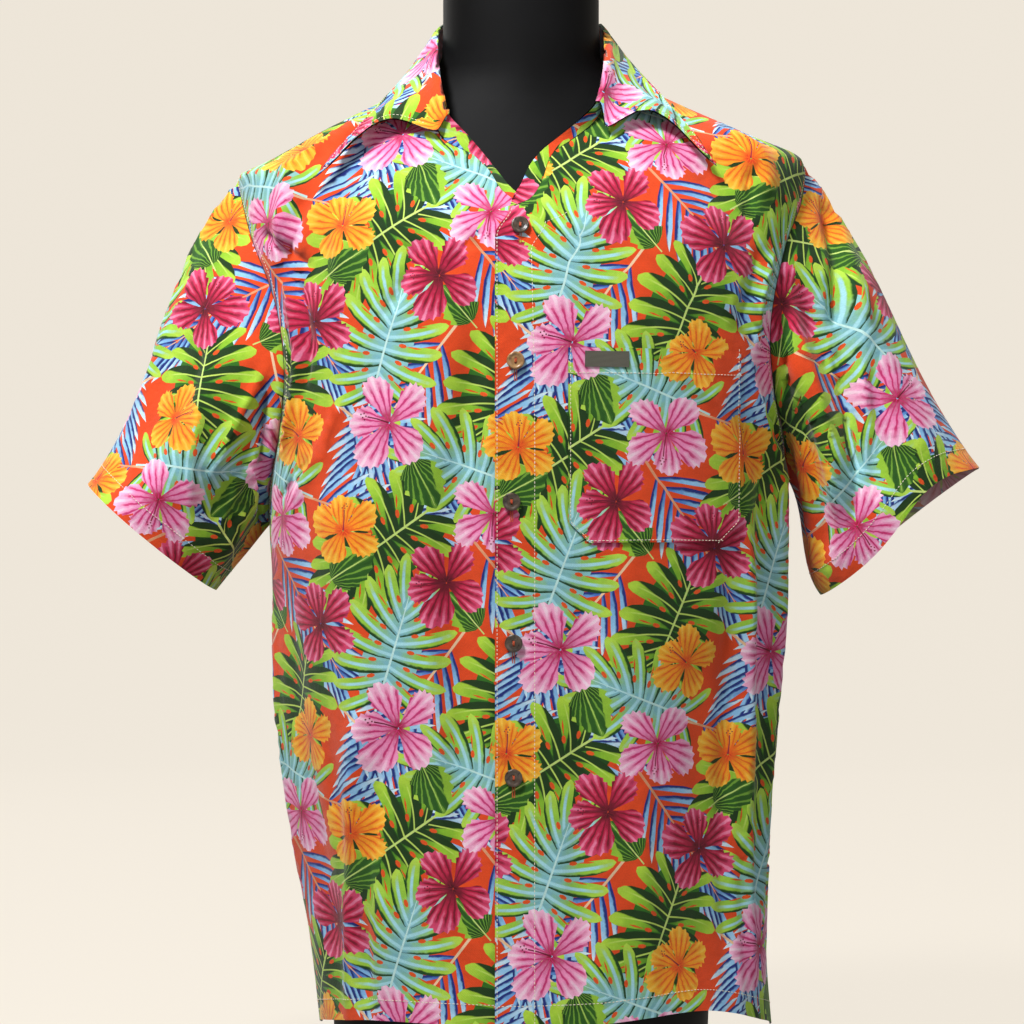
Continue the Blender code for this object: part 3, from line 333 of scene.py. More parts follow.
class WornForm:
    """The smooth surface that the worn cloth follows, named by turn and height.

    A turn runs from 0 at the middle of the front or back to 1 at the side seam or the
    shoulder ridge.
    """

    names = ("right", "left", "middle", "front", "back", "side_y", "fullness")

    def __init__(self, rings: Sequence[tuple]) -> None:
        """Fit a curve through each column of the rings' table."""
        heights, *columns = zip(*rings)
        self.columns = {name: Curve(heights, column) for name, column in zip(self.names, columns)}

    def reach(self, z: np.ndarray, side: Side) -> tuple[np.ndarray, np.ndarray]:
        """The rings' middles, and their reach from there to one side."""
        middle = self.columns["middle"](z)
        if side is Side.LEFT:
            return middle, self.columns["left"](z) - middle
        return middle, self.columns["right"](z) + middle

    def point(self, turn: np.ndarray, z: np.ndarray, side: Side, face: Face) -> np.ndarray:
        """Points of the form.

        Args:
            turn: turns round the form.
            z: heights.
            side: the wearer's side they are on.
            face: front or back.

        Returns:
            Points, with a last axis of three.
        """
        turn, z = np.broadcast_arrays(np.asarray(turn, float), np.asarray(z, float))
        middle, half = self.reach(z, side)
        depth = self.columns["front" if face is Face.FRONT else "back"](z)
        power = 2.0 / self.columns["fullness"](z)
        near, far = np.abs(turn) ** CORNER_NEATNESS, np.abs(1 - np.abs(turn)) ** CORNER_NEATNESS
        angle = 0.5 * math.pi * near / (near + far)
        x = middle + side * half * np.sign(turn) * np.sin(angle) ** power
        y = self.columns["side_y"](z) + face * depth * np.abs(np.cos(angle)) ** power
        return np.stack([x, y, z], axis=-1)

    def turn_at(self, x: np.ndarray, z: np.ndarray, side: Side) -> np.ndarray:
        """The turns at which rings reach an X at their heights."""
        middle, half = self.reach(np.asarray(z, float), side)
        reach = side * (x - middle) / half
        angle = np.arcsin(np.minimum(1.0, np.abs(reach) ** (0.5 * self.columns["fullness"](z))))
        share = angle / (0.5 * math.pi)
        ratio = (share / np.maximum(1.0 - share, 1e-9)) ** (1.0 / CORNER_NEATNESS)
        return np.sign(reach) * np.where(share >= 1.0 - 1e-9, 1.0, ratio / (1.0 + ratio))


FORM = WornForm(TORSO)


def outward(grid: np.ndarray, sign: int) -> np.ndarray:
    """Unit normals of a grid of points, turned to the outside."""
    return unit(np.cross(np.gradient(grid, axis=0), np.gradient(grid, axis=1)) * sign)


# ---------------------------------------------------------------- folds

PANEL_SIZE = (300.0, 800.0)
SLEEVE_SIZE = (430.0, 250.0)
SEAM_FADE = 26.0

# Soft folds.  Each runs from one place of a piece to another, as shares across and up it,
# and then has its half width and height in mm.  A trough has a height below zero.
FOLDS = {
    "front_right": (
        (0.18, 0.93, 0.83, 0.8, 13, 6.5), (0.1, 0.86, 0.9, 0.7, 20, -4.5), (0.86, 0.78, 0.9, 0.48, 12, 6),
        (0.2, 0.62, 0.2, 0.06, 15, -5), (0.5, 0.44, 0.42, -0.02, 20, 5), (0.74, 0.36, 0.62, -0.02, 22, -5),
        (0.36, 0.58, 0.3, 0.3, 24, 3)),
    "front_left": (
        (0.34, 0.92, 0.76, 0.84, 15, 5), (0.3, 0.86, 0.88, 0.74, 20, -4), (0.83, 0.62, 0.76, -0.02, 15, 6),
        (0.9, 0.58, 0.88, 0.1, 14, -5), (0.28, 0.4, 0.34, -0.02, 26, 4.5),
        (0.48, 0.3, 0.55, -0.02, 24, -4.5)),
    "back_right": (
        (0.62, 0.88, 0.8, 0.62, 20, 6), (0.3, 0.8, 0.34, 0.02, 30, 6), (0.62, 0.6, 0.58, -0.02, 26, -6),
        (0.84, 0.5, 0.8, 0.02, 20, 5)),
    "back_left": (
        (0.58, 0.9, 0.8, 0.66, 18, 5), (0.22, 0.74, 0.24, -0.02, 28, -5), (0.46, 0.7, 0.5, -0.02, 26, 6.5),
        (0.78, 0.54, 0.8, -0.02, 24, -5)),
    "sleeve_right": (
        (0.3, 0.02, 0.34, 0.8, 15, -6), (0.2, 0.1, 0.22, 1.05, 18, 5), (0.1, 0.25, 0.12, 1.05, 16, -4),
        (0.42, 0.1, 0.41, 0.9, 12, 4), (0.68, 0.05, 0.66, 1, 18, -6), (0.8, 0.1, 0.79, 1.05, 20, 5)),
    "sleeve_left": (
        (0.17, 0.03, 0.26, 0.92, 14, -10), (0.25, 0.03, 0.34, 0.8, 12, 6), (0.09, 0.1, 0.16, 1.05, 16, 6),
        (0.34, 0.06, 0.4, 0.9, 12, -6), (0.72, 0.05, 0.7, 1, 20, -6), (0.83, 0.08, 0.82, 1.05, 20, 5)),
}

# Finer creases that the solids leave out, in the same columns
CREASES = {
    "front_right": (
        (0.3, 0.7, 0.52, 0.6, 7, -1.6), (0.86, 0.86, 0.7, 0.74, 6, -2.2), (0.8, 0.82, 0.84, 0.55, 7, -2.4),
        (0.93, 0.72, 0.95, 0.5, 6, -1.8), (0.6, 0.55, 0.7, 0.34, 9, 1.4), (0.28, 0.4, 0.24, 0.02, 8, 1.5),
        (0.88, 0.36, 0.84, 0.05, 9, 2), (0.56, 0.24, 0.5, -0.02, 8, -1.5),
        (0.22, 0.88, 0.46, 0.78, 6, -1.5), (0.46, 0.83, 0.6, 0.7, 9, 1.4), (0.66, 0.46, 0.8, 0.4, 6, -1.2),
        (0.14, 0.66, 0.3, 0.63, 5, -0.9), (0.46, 0.84, 0.96, 0.76, 7, -2.6),
        (0.42, 0.26, 0.62, -0.02, 7, 2.6), (0.36, 0.24, 0.55, -0.02, 8, -2)),
    "front_left": (
        (0.92, 0.8, 0.88, 0.58, 6, 2.2), (0.84, 0.78, 0.8, 0.6, 7, -2), (0.68, 0.52, 0.66, 0.2, 10, -1.8),
        (0.92, 0.42, 0.86, 0.02, 8, 1.9), (0.4, 0.6, 0.62, 0.46, 9, 1.2), (0.2, 0.34, 0.22, -0.02, 9, -1.5),
        (0.6, 0.18, 0.64, -0.02, 8, 1.6), (0.52, 0.88, 0.74, 0.78, 6, -1.6),
        (0.7, 0.66, 0.84, 0.62, 5, 1.1), (0.34, 0.2, 0.38, -0.02, 7, 1.2), (0.6, 0.38, 0.72, -0.02, 7, 2.7),
        (0.53, 0.36, 0.63, -0.02, 9, -2.2)),
    "back_right": (
        (0.2, 0.72, 0.44, 0.56, 9, -1.6), (0.72, 0.8, 0.88, 0.66, 7, -2), (0.46, 0.46, 0.44, 0.04, 10, 1.8),
        (0.9, 0.4, 0.88, 0.06, 8, -1.8), (0.12, 0.3, 0.16, -0.02, 10, -1.6),
        (0.54, 0.9, 0.74, 0.82, 8, 1.5), (0.74, 0.3, 0.7, -0.02, 8, 1.5)),
    "back_left": (
        (0.3, 0.84, 0.52, 0.74, 8, -1.5), (0.86, 0.76, 0.76, 0.6, 7, 2.1), (0.62, 0.5, 0.66, 0.1, 9, -1.8),
        (0.34, 0.4, 0.38, -0.02, 10, 1.7), (0.92, 0.34, 0.9, 0.04, 8, 1.6), (0.1, 0.5, 0.08, 0.1, 11, 1.4)),
    "sleeve_right": (
        (0.25, 0.06, 0.29, 0.62, 6, 2.4), (0.37, 0.05, 0.39, 0.7, 6, -2.2),
        (0.15, 0.2, 0.17, 0.98, 8, -1.6), (0.06, 0.1, 0.04, 0.8, 9, 1.5), (0.6, 0.1, 0.58, 0.9, 8, 2),
        (0.9, 0.12, 0.92, 0.95, 9, -1.8), (0.74, 0.15, 0.73, 0.95, 8, 1.6),
        (0.22, 0.17, 0.5, 0.12, 8, -3.4), (0.12, 0.22, 0.3, 0.8, 7, 2.6)),
    "sleeve_left": (
        (0.21, 0.05, 0.31, 0.7, 6, 2.2), (0.12, 0.15, 0.21, 1.02, 7, -2.2), (0.3, 0.1, 0.37, 0.86, 6, -2.2),
        (0.05, 0.08, 0.08, 0.9, 9, 1.6), (0.42, 0.08, 0.44, 0.7, 7, 1.6), (0.62, 0.1, 0.61, 0.92, 8, 1.8),
        (0.9, 0.1, 0.89, 0.98, 9, -1.6), (0.77, 0.2, 0.76, 0.95, 8, -1.6),
        (0.01, 0.06, 0.18, 0.36, 8, -4.2), (0.12, 0.24, 0.34, 0.9, 6, -3.4), (0.06, 0.2, 0.28, 0.84, 8, 3),
        (0.19, 0.04, 0.38, 0.15, 6, -3)),
}


def fold_height(name: str, across: np.ndarray, up: np.ndarray, size: tuple[float, float]) -> np.ndarray:
    """How far the folds and creases push a piece out.

    Args:
        name: the piece's name in the tables.
        across: shares across the piece.
        up: shares up it, or down a sleeve.
        size: the piece's rough width and height, mm.

    Returns:
        The push at each place, mm.
    """
    total = np.zeros(np.broadcast(across, up).shape)
    rows = [(FOLD_DEPTH, *row) for row in FOLDS[name]] + [(CREASE_DEPTH, *row) for row in CREASES[name]]
    for depth, x0, y0, x1, y1, half_width, height in rows:
        run_x, run_y = (x1 - x0) * size[0], (y1 - y0) * size[1]
        length = math.hypot(run_x, run_y)
        off_x, off_y = (across - x0) * size[0], (up - y0) * size[1]
        along = (off_x * run_x + off_y * run_y) / length ** 2
        beside = (off_x * run_y - off_y * run_x) / length
        ends = soft_step(along / FOLD_ENDS) * soft_step((1 - along) / FOLD_ENDS)
        total = total + depth * height * ends * np.exp(-(beside / half_width) ** 2)
    return total


def unrest(points: np.ndarray, amount: float) -> np.ndarray:
    """A slight unevenness that worn cloth has everywhere.

    Args:
        points: places of the cloth, mm.
        amount: about the most it rises or falls, mm.

    Returns:
        The push at each place, mm.
    """
    x, y, z = (points[..., k] for k in range(3))
    waves = (np.sin(x / 13.0 + 1.3 * np.sin(z / 47.0)) * np.sin(z / 31.0 + 0.9 * np.sin(x / 39.0))
             + 0.6 * np.sin(x / 7.1 + z / 23.0 + y / 17.0) * np.sin(z / 71.0 + 2.0)
             + 0.5 * np.sin(y / 11.0 + z / 19.0))
    return 0.5 * amount * waves


# ---------------------------------------------------------------- grids

@dataclass
class ClothGrid:
    """A piece of cloth as a fine grid: where it lies, which way is out, and its flat cut.

    A search starts from the nearest of every so many grid points, and closes in on its
    target by a number of approaches of a longest stride, in grid lines.
    """
    start_step: ClassVar[int] = 3
    approaches: ClassVar[int] = 14
    stride: ClassVar[float] = 4.0
    points: np.ndarray
    normals: np.ndarray
    flat: np.ndarray

    @staticmethod
    def around(fields: np.ndarray, places: np.ndarray) -> tuple[np.ndarray, ...]:
        """The four values of a field round each place, and the place's shares between them."""
        r, c = np.clip(np.floor(places).astype(int), 0, np.array(fields.shape[:2]) - 2).T
        return (fields[r, c], fields[r, c + 1], fields[r + 1, c], fields[r + 1, c + 1],
                (places[:, 0] - r)[:, None], (places[:, 1] - c)[:, None])

    def read(self, fields: np.ndarray, places: np.ndarray) -> np.ndarray:
        """Read a field between grid points.

        Args:
            fields: values on the grid.
            places: rows and columns, as fractions.

        Returns:
            The field's values there.
        """
        p00, p01, p10, p11, fr, fc = self.around(fields, places)
        return (p00 * (1 - fc) + p01 * fc) * (1 - fr) + (p10 * (1 - fc) + p11 * fc) * fr

    def find(self, fields: np.ndarray, targets: np.ndarray, within: float) -> tuple[np.ndarray, np.ndarray]:
        """Find where on the grid a field of pairs has given values.

        Args:
            fields: pairs on the grid.
            targets: the pairs to find.
            within: how far from any grid point a target may be.

        Returns:
            Rows and columns as fractions, and whether each target is near the grid.
        """
        rows, columns = (every(self.start_step, count) for count in fields.shape[:2])
        starts = np.stack(np.meshgrid(rows, columns, indexing="ij"), axis=-1).reshape(-1, 2)
        tree = search_tree(fields[starts[:, 0], starts[:, 1]])
        hits = np.array([tree.find((a, b, 0.0))[1:] for a, b in targets])
        places = starts[hits[:, 0].astype(int)].astype(float)
        for _ in range(self.approaches):
            p00, p01, p10, p11, fr, fc = self.around(fields, places)
            by_row = (p10 - p00) * (1 - fc) + (p11 - p01) * fc
            by_column = (p01 - p00) * (1 - fr) + (p11 - p10) * fr
            short = targets - self.read(fields, places)
            area = by_row[:, 0] * by_column[:, 1] - by_row[:, 1] * by_column[:, 0]
            area = np.where(np.abs(area) < 1e-6, 1e-6, area)
            row_step = (short[:, 0] * by_column[:, 1] - short[:, 1] * by_column[:, 0]) / area
            column_step = (by_row[:, 0] * short[:, 1] - by_row[:, 1] * short[:, 0]) / area
            places = places + np.clip(np.stack([row_step, column_step], axis=1), -self.stride, self.stride)
        return places, hits[:, 1] < within

    def under(self, spots: np.ndarray) -> tuple[np.ndarray, np.ndarray]:
        """Where on the grid X and Z places lie, as seen from the front, and its normals there."""
        places, _ = self.find(self.points[..., [0, 2]], spots, math.inf)
        return places, unit(self.read(self.normals, places))

    @property
    def flat_area(self) -> float:
        """Area of the flat cut, square mm."""
        a = self.flat[1:, 1:] - self.flat[:-1, :-1]
        b = self.flat[1:, :-1] - self.flat[:-1, 1:]
        return float(0.5 * np.abs(a[..., 0] * b[..., 1] - a[..., 1] * b[..., 0]).sum())


def cut_flat(points: np.ndarray, start: np.ndarray, held: np.ndarray | None = None,
             row_step: int = FLAT_STEP) -> np.ndarray:
    """Relax a worn grid flat, so that its lengths stay as they are on the wearer.

    Args:
        points: the worn grid, mm.
        start: a first guess of the flat grid, mm.
        held: True where a point keeps its first guess across.
        row_step: every so many rows take part.

    Returns:
        The flat grid, mm.
    """
    row_picks, column_picks = every(row_step, points.shape[0]), every(FLAT_STEP, points.shape[1])
    worn = points[row_picks][:, column_picks]
    flat = start[row_picks][:, column_picks].copy()
    fixed = None if held is None else held[row_picks][:, column_picks]
    first = flat.copy()
    rows, columns = worn.shape[:2]
    cells = [(slice(i, rows - 1 + i), slice(j, columns - 1 + j)) for i, j in ((0, 0), (0, 1), (1, 1), (1, 0))]
    corners = np.stack([worn[cell] for cell in cells], axis=2)
    corners = corners - corners.mean(axis=2, keepdims=True)
    across = unit(corners[..., 1, :] + corners[..., 2, :] - corners[..., 0, :] - corners[..., 3, :])
    rise = corners[..., 2, :] + corners[..., 3, :] - corners[..., 0, :] - corners[..., 1, :]
    rise = unit(rise - across * np.sum(across * rise, axis=-1, keepdims=True))
    hand = np.sign(np.median(np.cross(flat[:-1, 1:] - flat[:-1, :-1], flat[1:, :-1] - flat[:-1, :-1])))
    shape = np.stack([np.einsum("ijkl,ijl->ijk", corners, across),
                      hand * np.einsum("ijkl,ijl->ijk", corners, rise)], axis=-1)
    count = np.zeros((rows, columns, 1))
    for cell in cells:
        count[cell] += 1
    for _ in range(FLAT_ROUNDS):
        now = np.stack([flat[cell] for cell in cells], axis=2)
        middle = now.mean(axis=2, keepdims=True)
        off = now - middle
        along = np.sum(off * shape, axis=(2, 3))
        aside = np.sum(shape[..., 0] * off[..., 1] - shape[..., 1] * off[..., 0], axis=2)
        size = np.maximum(np.hypot(along, aside), 1e-9)
        c, s = (along / size)[..., None], (aside / size)[..., None]
        turned = np.stack([shape[..., 0] * c - shape[..., 1] * s,
                           shape[..., 0] * s + shape[..., 1] * c], axis=-1)
        pull = middle + turned - now
        move = np.zeros_like(flat)
        for number, cell in enumerate(cells):
            move[cell] += pull[:, :, number]
        flat += FLAT_HASTE * move / count
        if fixed is not None:
            flat[fixed, 0] = first[fixed, 0]
    spread = smooth_points(row_picks, flat.reshape(rows, -1), np.arange(points.shape[0]))
    spread = spread.reshape(points.shape[0], columns, 2).transpose(1, 0, 2)
    full = smooth_points(column_picks, spread.reshape(columns, -1), np.arange(points.shape[1]))
    return full.reshape(points.shape[1], points.shape[0], 2).transpose(1, 0, 2)


# ---------------------------------------------------------------- body panels

@dataclass
class BodyPanel:
    """A front, or half the back, cut from hem to shoulder and from middle to side."""
    names: ClassVar[tuple[str, ...]] = ("front_right", "front_left", "back_right", "back_left")
    side: Side
    face: Face

    @property
    def name(self) -> str:
        """The panel's name in the tables of folds."""
        return ("front_" if self.face is Face.FRONT else "back_") + self.side.word

    @property
    def corner_share(self) -> float:
        """Share of the height at which the middle edge turns into the neckline."""
        return FRONT_CORNER_SHARE if self.face is Face.FRONT else BACK_CORNER_SHARE

    @cached_property
    def hem(self) -> Curve:
        """The hem's height over turns."""
        return Curve(*zip(*HEM[self.face, self.side]))

    @cached_property
    def neckline(self) -> tuple[Curve, Curve]:
        """The front neckline's turns and heights along its length."""
        across, heights = zip(*NECKLINE[self.side])
        turns = [float(FORM.turn_at(x, z, self.side)) for x, z in zip(across[:-1], heights)] + [1.0]
        run = run_lengths(FORM.point(turns, heights, self.side, Face.FRONT))
        return Curve(run / run[-1], turns), Curve(run / run[-1], heights)

    def neck_edge(self, share: np.ndarray) -> tuple[np.ndarray, np.ndarray]:
        """Turns and heights on the neckline, from its corner to the shoulder."""
        share = np.clip(np.asarray(share, float), 0, 1)
        if self.face is Face.BACK:
            return share, BACK_NECK_Z - (BACK_NECK_Z - SHOULDER_NECK_Z) * share ** BACK_NECK_CURVE
        return self.neckline[0](share), self.neckline[1](share)

    def armhole(self, share: np.ndarray) -> tuple[np.ndarray, np.ndarray]:
        """Turns and heights on the armhole, evenly spaced along it."""
        turn = Curve(*zip(*ARMHOLE[self.face]))
        low, high = UNDERARM_Z[self.side], SHOULDER_POINT_Z[self.side]
        fine = np.linspace(0.0, 1.0, 200)
        run = run_lengths(FORM.point(turn(fine), low + (high - low) * fine, self.side, self.face))
        at = np.interp(share, run / run[-1], fine)
        return turn(at), low + (high - low) * at

    def inner_edge(self, up: np.ndarray) -> tuple[np.ndarray, np.ndarray]:
        """Turns and heights up the middle edge and then the neckline."""
        corner = self.corner_share
        corner_turn, corner_z = (float(v) for v in self.neck_edge(0.0))
        if self.face is Face.FRONT:
            first_z = HEM[self.face, self.side][0][1]
            hem_turn = float(FORM.turn_at(EDGE_X[self.side], first_z, self.side))
        else:
            hem_turn = 0.0
        hem_z = float(self.hem(hem_turn))
        below = hem_z + (CHEST_LEVEL_Z - hem_z) * up / UNDERARM_SHARE
        left_over = np.clip((corner - up) / (corner - UNDERARM_SHARE), 0, 1)
        above = CHEST_LEVEL_Z + (corner_z - CHEST_LEVEL_Z) * (1 - left_over ** ROW_CROWDING)
        z = np.where(up <= UNDERARM_SHARE, below, above)
        if self.face is Face.BACK:
            turn = np.zeros_like(z)
        else:
            straight = FORM.turn_at(EDGE_X[self.side], z, self.side)
            turn = straight + (corner_turn - straight) * soft_step((z - corner_z + NECK_EASE) / NECK_EASE)
        neck_turn, neck_z = self.neck_edge((up - corner) / (1 - corner))
        on_neck = up > corner
        return np.where(on_neck, neck_turn, turn), np.where(on_neck, neck_z, z)

    def outer_edge(self, up: np.ndarray) -> tuple[np.ndarray, np.ndarray]:
        """Turns and heights up the side seam and then the armhole."""
        hem_z = float(self.hem(1.0))
        z = hem_z + (UNDERARM_Z[self.side] - hem_z) * up / UNDERARM_SHARE
        turn, arm_z = self.armhole((up - UNDERARM_SHARE) / (1 - UNDERARM_SHARE))
        return np.where(up <= UNDERARM_SHARE, 1.0, turn), np.where(up <= UNDERARM_SHARE, z, arm_z)

    def seam_shelter(self, across: np.ndarray, up: np.ndarray) -> np.ndarray:
        """0 on the sewn edges and 1 well away from them."""
        outer = (1 - across) * PANEL_SIZE[0]
        top = (1 - up) * PANEL_SIZE[1] * 0.5
        sewn = up > FRONT_CORNER_SHARE if self.face is Face.FRONT else up > -1.0
        inner = np.where(sewn, across * PANEL_SIZE[0], 1e3)
        return soft_step(np.minimum(np.minimum(outer, top), inner) / SEAM_FADE)

    def calm(self, across: np.ndarray) -> np.ndarray | float:
        """0 where the placket keeps the cloth flat, and 1 away from it."""
        if self.face is Face.BACK:
            return 1.0
        return soft_step((across * PANEL_SIZE[0] - CALM_LAP[0]) / CALM_LAP[1])

    def lap_push(self, across: np.ndarray, up: np.ndarray) -> np.ndarray:
        """How far the upper front lies out over the lower one."""
        fade = (LAP_FADE[1] - across * PANEL_SIZE[0]) / (LAP_FADE[1] - LAP_FADE[0])
        steps = (up - FRONT_CORNER_SHARE) / (1 - FRONT_CORNER_SHARE) * NECK_ROWS
        return LAP_RISE * soft_step(fade) * (1 - soft_step((steps - 1) / 2.0))

    def build(self) -> ClothGrid:
        """Work out the panel as a fine grid with its flat cut."""
        up = np.linspace(0, 1, PANEL_ROWS + 1)[:, None]
        across = np.linspace(0, 1, PANEL_COLUMNS + 1)[None, :]
        inner_turn, inner_z = self.inner_edge(up)
        outer_turn, outer_z = self.outer_edge(up)
        turns = inner_turn + (outer_turn - inner_turn) * across
        heights = inner_z + (outer_z - inner_z) * across
        hem_turns = inner_turn[0] + (outer_turn[0] - inner_turn[0]) * across
        bow = self.hem(hem_turns) - (inner_z[0] + (outer_z[0] - inner_z[0]) * across)
        heights = heights + bow * np.clip(1 - up / UNDERARM_SHARE, 0, 1)
        base = FORM.point(turns, heights, self.side, self.face)
        normals = outward(base, self.side * self.face)
        shelter = self.seam_shelter(across, up)
        push = fold_height(self.name, across, up, PANEL_SIZE) * shelter
        push = push + unrest(base, BODY_UNREST) * shelter * self.calm(across)
        if self.face is Face.FRONT and self.side is Side.LEFT:
            push = push + self.lap_push(across, up)
        points = base + normals * push[..., None]
        self.tuck(points, normals)
        worn_normals = outward(points, self.side * self.face)
        if self.face is Face.BACK:
            middle = up[:, 0] <= self.corner_share
            worn_normals[middle, 0, 0] = 0.0
            worn_normals = unit(worn_normals)
        return ClothGrid(points, worn_normals, self.cut(base, heights))

    def tuck(self, points: np.ndarray, normals: np.ndarray) -> None:
        """Sink the sewn edges a little and draw them apart by a hair's breadth."""
        neck = int(round(self.corner_share * PANEL_ROWS)) + 1
        edges = [((slice(None), -1), (slice(None), -2)), ((-1, slice(None)), (-2, slice(None))),
                 ((slice(neck, None), 0), (slice(neck, None), 1))]
        for edge, beside in edges:
            points[edge] += unit(points[beside] - points[edge]) * SEAM_PULL
            points[edge] -= normals[edge] * SEAM_TUCK

    def cut(self, base: np.ndarray, heights: np.ndarray) -> np.ndarray:
        """The flat cut, with the grain upright and the cloth's face towards the reader."""
        middle, _ = FORM.reach(heights[:, 0], self.side)
        across = self.side * (base[:, :1, 0] - middle[:, None]) + run_lengths(base[..., :2], 1)
        guess = np.stack([across, heights[:1] + run_lengths(base[..., 1:])], axis=-1)
        if self.face is Face.FRONT:
            return cut_flat(base, guess) * (self.side, 1)
        rows = int(round(self.corner_share * PANEL_ROWS))
        held = np.zeros(heights.shape, bool)
        held[:rows + 1, 0] = True
        flat = cut_flat(base, guess, held) * (-self.side, 1)
        flat[..., 1] += heights[0, 0] - flat[0, 0, 1]
        self.straighten(flat, base, rows)
        return flat

    @staticmethod
    def straighten(flat: np.ndarray, base: np.ndarray, rows: int) -> None:
        """Give the middle of the back the true length up it, so both halves agree."""
        true = flat[0, 0, 1] + run_lengths(base[: rows + 1, 0])
        off = true - flat[: rows + 1, 0, 1]
        off = np.concatenate([off, np.full(len(flat) - rows - 1, off[-1])])
        fade = 1 - soft_step(np.linspace(0, 1, flat.shape[1]) / 0.5)
        flat[..., 1] += off[:, None] * fade[None, :]


# ---------------------------------------------------------------- sleeves

class Cuff(NamedTuple):
    """The open end of a sleeve: its outer and inner corners and its shape.

    It hangs lower at the back by a drop, and is lifted by a notch at a share round it.
    """
    outer_x: float
    outer_z: float
    inner_x: float
    inner_z: float
    middle_y: float
    half_depth: float
    back_drop: float
    notch_lift: float
    notch_share: float
    top_bulge: float


NOTCH_WIDTH = 0.1          # share of the way round
CUFFS = {
    Side.RIGHT: Cuff(-346, 491, -244, 406, 2, 60, 9, 0, 0.2, 7),
    Side.LEFT: Cuff(367, 503, 240, 402, 2, 60, 2, 17, 0.18, 4),
}


def tube_normals(grid: np.ndarray) -> np.ndarray:
    """Outward normals of a tube whose last column repeats its first."""
    ring = grid[:, :-1]
    along = np.roll(ring, -1, axis=1) - np.roll(ring, 1, axis=1)
    normal = unit(np.cross(along, np.gradient(ring, axis=0)))
    if np.sum(normal * (ring - ring.mean(axis=1, keepdims=True))) < 0:
        normal = -normal
    return np.concatenate([normal, normal[:, :1]], axis=1)


@dataclass
class Sleeve:
    """A short set-in sleeve, filled out as if an arm were in it."""
    side: Side

    def shape(self) -> tuple[np.ndarray, np.ndarray, np.ndarray, np.ndarray]:
        """The sleeve without its folds: points, shares round and down it, and its axis."""
        cuff = CUFFS[self.side]
        half = SLEEVE_COLUMNS // 2
        share = np.linspace(0, 1, half + 1)
        front = FORM.point(*BodyPanel(self.side, Face.FRONT).armhole(1 - share), self.side, Face.FRONT)
        back = FORM.point(*BodyPanel(self.side, Face.BACK).armhole(share[1:]), self.side, Face.BACK)
        head = np.concatenate([front, back])
        outer = np.array([cuff.outer_x, cuff.middle_y, cuff.outer_z])
        inner = np.array([cuff.inner_x, cuff.middle_y, cuff.inner_z])
        centre, arm = 0.5 * (outer + inner), 0.5 * (outer - inner)
        axis = unit(np.array([arm[2], 0, -arm[0]]))
        axis = axis if axis[2] < 0 else -axis
        run = run_lengths(head)
        round_share = run / run[-1]
        angle = 2 * math.pi * round_share
        ring = centre + np.cos(angle)[:, None] * arm
        ring = ring + np.sin(angle)[:, None] * [0, Face.FRONT * cuff.half_depth, 0]
        drop = cuff.back_drop * np.clip(-np.sin(angle), 0, 1)
        lift = cuff.notch_lift * np.exp(-((round_share - cuff.notch_share) / NOTCH_WIDTH) ** 2)
        ring = ring + (drop - lift)[:, None] * axis
        f = np.linspace(0, 1, SLEEVE_ROWS + 1)[:, None, None]
        arrive = axis * np.linalg.norm(ring - head, axis=1)[:, None]
        top = np.clip(np.cos(angle), 0, 1)[:, None] ** 2
        leave = arrive + top * np.array([self.side * cuff.top_bulge * 4, 0, cuff.top_bulge])
        return bent(head, leave, ring, arrive, f), round_share[None, :], f[:, :, 0], axis

    def build(self) -> ClothGrid:
        """Work out the sleeve as a fine grid, cut open under the arm."""
        base, round_share, down, axis = self.shape()
        normals = tube_normals(base)
        clear = soft_step(down * SLEEVE_SIZE[1] / SEAM_FADE)
        name = "sleeve_" + self.side.word
        push = fold_height(name, round_share, down, SLEEVE_SIZE) * clear
        push = push + unrest(base, SLEEVE_UNREST) * clear
        points = base + normals * push[..., None]
        points[0] += unit(points[1] - points[0]) * SEAM_PULL - normals[0] * SEAM_TUCK
        half = SLEEVE_COLUMNS // 2
        points, worn, base = (np.concatenate([grid[:, half:-1], grid[:, :half + 1]], axis=1)
                              for grid in (points, tube_normals(points), base))
        for edge, beside in ((0, 1), (-1, -2)):
            points[:, edge] += unit(points[:, beside] - points[:, edge]) * SEAM_PULL
        return ClothGrid(points, worn, self.cut(base, axis))

    def cut(self, base: np.ndarray, axis: np.ndarray) -> np.ndarray:
        """The flat cut, with the grain down the sleeve."""
        across = run_lengths(base, 1)
        guess = np.stack([across - 0.5 * across[:, -1:], -(base @ axis)], axis=-1)
        return cut_flat(base, guess) * (self.side, 1)


# ---------------------------------------------------------------- collar

# Places of the collar's fold: share, from neck corner (0) over shoulder (1) to back (2), X, Y, Z
STAND_TOP = {
    Side.RIGHT: (
        (0, 3, -101.5, 707), (0.1, -7.6, -97, 716), (0.2, -18.5, -90.5, 730), (0.3, -29.5, -84, 744.5),
        (0.4, -43.5, -81.5, 761), (0.5, -57, -81, 776), (0.6, -61, -74, 790), (0.7, -64, -63, 806),
        (0.8, -66, -46, 823), (0.9, -67, -22, 838), (1, -67, 6, 850), (1.25, -62.5, 32, 863),
        (1.6, -39.5, 60, 870), (2, 0, 72.5, 873)),
    Side.LEFT: (
        (0, -5.5, -105, 710), (0.1, -0.5, -102, 718), (0.2, 6, -95.5, 733), (0.3, 15.5, -88.5, 745.5),
        (0.4, 31, -84, 758.5), (0.5, 46, -81.5, 771), (0.6, 58.5, -77, 785), (0.7, 63.5, -64.5, 805),
        (0.8, 66, -46, 823), (0.9, 67, -22, 838), (1, 67, 6, 851), (1.25, 62.5, 32, 863),
        (1.6, 39.5, 60, 870), (2, 0, 72.5, 873)),
}
LEAF_START = {Side.RIGHT: 0.5, Side.LEFT: 0.6}
